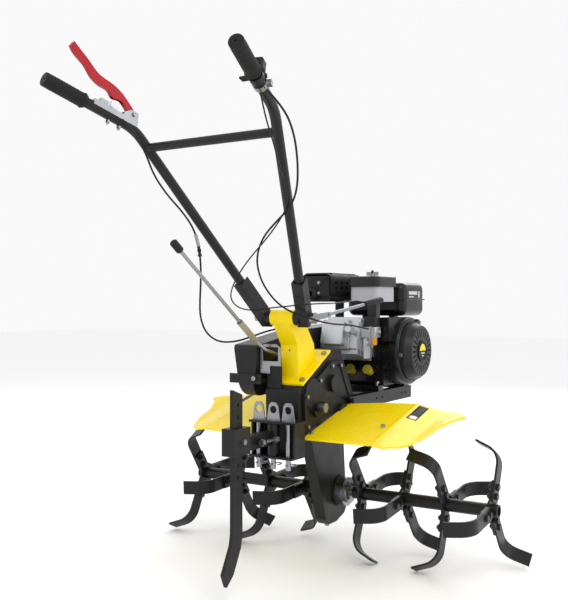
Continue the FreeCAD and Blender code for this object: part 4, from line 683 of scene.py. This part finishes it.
# ---- labels ---------------------------------------------------------------------------------------
class TILLER_OT_labels(bpy.types.Operator):
    """Add the plain warning strip on each fender, without any lettering"""
    bl_idname = "tiller.labels"
    bl_label = "Labels"

    def execute(self, context):
        for side, name in ((1, "right"), (-1, "left")):
            for part, slot, inset, shortening, lift in LABEL_LAYERS:
                across = np.linspace(LABEL_ACROSS[0] + inset, LABEL_ACROSS[1] - inset, 6)
                along_fender = np.linspace(LABEL_ALONG[0] + inset, LABEL_ALONG[1] - shortening, 14)
                x, y = np.meshgrid(across, along_fender)
                points = from_axle(np.stack([side * x, y, fender_height(x, y) + lift], -1).reshape(-1, 3))
                faces = grid_faces(14, 6).tolist()
                if side < 0:
                    faces = [face[::-1] for face in faces]
                piece = new_piece(name + "_label_" + part, points, faces, slot, "chassis")
                film = piece.modifiers.new("film", "SOLIDIFY")
                film.thickness = LABEL_SHEET
        return {"FINISHED"}


# ---- fittings -----------------------------------------------------------------------------------
def joined(parts):
    """One array of points and one list of faces from several."""
    points, faces, start = [], [], 0
    for some, theirs in parts:
        points.append(some)
        faces += [[i + start for i in face] for face in theirs]
        start += len(some)
    return np.concatenate(points), faces


def hex_bolt(place, heading, across, height):
    """A chamfered hexagon head on its round washer, in millimetres off the axle."""
    corner, seat = across / math.sqrt(3), 0.9
    washer = ((0, PINHOLE), (0, corner * 1.12), (seat, corner * 1.12), (seat, PINHOLE))
    head = ((seat, PINHOLE), (seat, corner), (height - 0.7, corner), (height, corner * 0.86),
            (height, PINHOLE))
    return joined((turned(place, heading, washer, 28), turned(place, heading, head, 6)))


def strip(x, low, high):
    """A flat printed strip square to X between two (y, z) corners, in millimetres off the axle."""
    y, z = np.meshgrid(np.linspace(low[0], high[0], 5), np.linspace(low[1], high[1], 5), indexing="ij")
    return from_axle(np.stack([np.full_like(y, x), y, z], -1).reshape(-1, 3)), grid_faces(5, 5).tolist()


class TILLER_OT_fan_trim(bpy.types.Operator):
    """Add the starter's plain emblem, its three lugs and their screws"""
    bl_idname = "tiller.fan_trim"
    bl_label = "Starter Trim"

    def execute(self, context):
        out = (1.0, 0.0, 0.0)
        rim = turned(FAN_AXIS + (EMBLEM_BACK, 0, 0), out, EMBLEM_RIM, 64)
        new_piece("emblem_rim", *rim, "black_plastic", "chassis")
        # half a disc with a slight crown: (crown - 0.6 s^2, R s cos a, 1.5 + R s sin a)
        a, s = np.meshgrid(np.linspace(0, np.pi, 40), np.linspace(0.15, 1.0, 8), indexing="ij")
        disc = np.stack([EMBLEM_CROWN - 0.6 * s ** 2, EMBLEM_RADIUS * s * np.cos(a),
                         1.5 + EMBLEM_RADIUS * s * np.sin(a)], -1)
        faces = [face[::-1] for face in grid_faces(40, 8).tolist()]
        points = from_axle(disc.reshape(-1, 3) + FAN_AXIS)
        new_piece("emblem_half_disc", points, faces, "yellow_enamel", "chassis")
        bars = [strip(EMBLEM_BARS_X, *corners) for corners in EMBLEM_BARS]
        new_piece("emblem_bars", *joined(bars), "film", "chassis")
        lugs, screws = [], []
        for angle in np.radians(LUG_ANGLES):
            place = FAN_AXIS + np.array([0.0, math.cos(angle), math.sin(angle)]) * LUG_CIRCLE
            lugs.append(turned(place + (LUG_BACK, 0, 0), out, STARTER_LUG, 32))
            screws.append(hex_bolt(place + (LUG_FACE, 0, 0), out, 10, 6))
        new_piece("starter_lugs", *joined(lugs), "gloss_plastic", "chassis")
        new_piece("starter_screws", *joined(screws), "zinc", "chassis")
        return {"FINISHED"}


class TILLER_OT_engine_trim(bpy.types.Operator):
    """Add the bolts of valve cover and silencer, the louvres and the blank printed strips on the tank"""
    bl_idname = "tiller.engine_trim"
    bl_label = "Engine Trim"

    def execute(self, context):
        rearwards = (0.0, -1.0, 0.0)
        along_cylinder = np.array([0.0, -math.cos(CYLINDER_SLOPE), math.sin(CYLINDER_SLOPE)])
        across_cylinder = np.array([0.0, math.sin(CYLINDER_SLOPE), math.cos(CYLINDER_SLOPE)])
        bolts = []
        for x in VALVE_BOLTS_X:
            for lift in VALVE_BOLTS_LIFT:
                place = FAN_AXIS + along_cylinder * VALVE_COVER_FACE + across_cylinder * lift + (x, 0, 0)
                bolts.append(hex_bolt(place, along_cylinder, 7, 5))
        for x in GUARD_BOLTS_X:
            for z in GUARD_BOLTS_Z:
                bolts.append(hex_bolt((x, GUARD_FACE_Y, z), rearwards, 8, 5))
        new_piece("cover_bolts", *joined(bolts), "zinc", "chassis")
        dome = turned(OUTLET_PLACE, rearwards, OUTLET_DOME, 48)
        new_piece("silencer_outlet_dome", *dome, "heat_black", "chassis")
        starts = [(REAR_LOUVRE, (-136.0 + 9.5 * k, 62.0, LOUVRE_TOP)) for k in range(9)]
        starts += [(SIDE_LOUVRE, (-74.0, 106.0 + 13.0 * k, LOUVRE_TOP)) for k in range(11)]
        radii = np.array(LOUVRE_RADII) * MM
        louvres = [swept(from_axle(np.add(steps, start)), radii, 12) for steps, start in starts]
        new_piece("silencer_louvres", *joined(louvres), "heat_black", "chassis")
        bars = [strip(TANK_BARS_X, *corners) for corners in TANK_BARS]
        new_piece("tank_strips", *joined(bars), "film", "chassis")
        return {"FINISHED"}


class TILLER_OT_lever_trim(bpy.types.Operator):
    """Add the sleeves of shift rod and clamp lever and the bright disc of the throttle lever"""
    bl_idname = "tiller.lever_trim"
    bl_label = "Lever Trim"

    def execute(self, context):
        rod = unit(SHIFT_TOP - SHIFT_KNEE)
        sleeve = turned(SHIFT_KNEE + rod * SHIFT_SLEEVE_START, rod, SHIFT_SLEEVE, 32)
        new_piece("shift_sleeve", *sleeve, "sleeve", "shift")
        lever = unit(CLAMP_RUN)
        sleeve = turned(CLAMP_PIVOT + lever * CLAMP_SLEEVE_START, lever, CLAMP_SLEEVE, 40)
        new_piece("clamp_lever_sleeve", *sleeve, "black_plastic", "clamp")
        back = unit(ARM_BEND - ARM_END)
        level = np.array([back[1], -back[0], 0.0]) / math.hypot(back[0], back[1])
        up = np.cross(level, back)
        up *= np.sign(up[2])
        dial = turned(ARM_END + back * DIAL_ALONG_ARM + up * DIAL_OVER_ARM, up, THROTTLE_DIAL, 48)
        new_piece("throttle_dial", *dial, "zinc", "throttle")
        return {"FINISHED"}


# ---- engineering nodes --------------------------------------------------------------------------
class TILLER_OT_engineering_nodes(bpy.types.Operator):
    """Give every engineering node its finish and break the hard edges of what shows"""
    bl_idname = "tiller.engineering_nodes"
    bl_label = "Castings and Plates"

    def execute(self, context):
        for name, node in frame["nodes"].items():
            node.data.materials.clear()
            node.data.materials.append(material(SLOT_OF[name]))
        for name, width in BROKEN_EDGES.items():
            softened(name, width)
        return {"FINISHED"}


# ---- panel and registration ------------------------------------------------------------------------
OPERATORS = (TILLER_OT_stage, TILLER_OT_cables, TILLER_OT_engineering_nodes, TILLER_OT_grips,
             TILLER_OT_fenders, TILLER_OT_labels, TILLER_OT_fan_trim, TILLER_OT_engine_trim,
             TILLER_OT_lever_trim)


class TILLER_PT_sidebar(bpy.types.Panel):
    """Buttons and settings of the tiller"""
    bl_idname = "TILLER_PT_sidebar"
    bl_label = "Tiller"
    bl_space_type = "VIEW_3D"
    bl_region_type = "UI"
    bl_category = "Tiller"

    def draw(self, context):
        for operator in OPERATORS:
            self.layout.operator(operator.bl_idname)
        for group in (context.scene.tiller_colours, context.scene.tiller_sizes):
            for name in group.bl_rna.properties.keys():
                if name not in {"rna_type", "name"}:
                    self.layout.prop(group, name)


CLASSES = (TillerColours, TillerSizes) + OPERATORS + (TILLER_PT_sidebar,)


def register():
    """Make the classes and the scene's settings known."""
    for entry in CLASSES:
        bpy.utils.register_class(entry)
    bpy.types.Scene.tiller_colours = bpy.props.PointerProperty(type=TillerColours)
    bpy.types.Scene.tiller_sizes = bpy.props.PointerProperty(type=TillerSizes)


def unregister():
    """Take the settings and the classes away again."""
    del bpy.types.Scene.tiller_sizes
    del bpy.types.Scene.tiller_colours
    for entry in reversed(CLASSES):
        bpy.utils.unregister_class(entry)


def main():
    """Build everything in order."""
    register()
    bpy.ops.tiller.stage()
    bpy.ops.tiller.cables()
    bpy.ops.tiller.engineering_nodes()
    bpy.ops.tiller.grips()
    bpy.ops.tiller.fenders()
    bpy.ops.tiller.labels()
    bpy.ops.tiller.fan_trim()
    bpy.ops.tiller.engine_trim()
    bpy.ops.tiller.lever_trim()


if __name__ == "__main__":
    main()
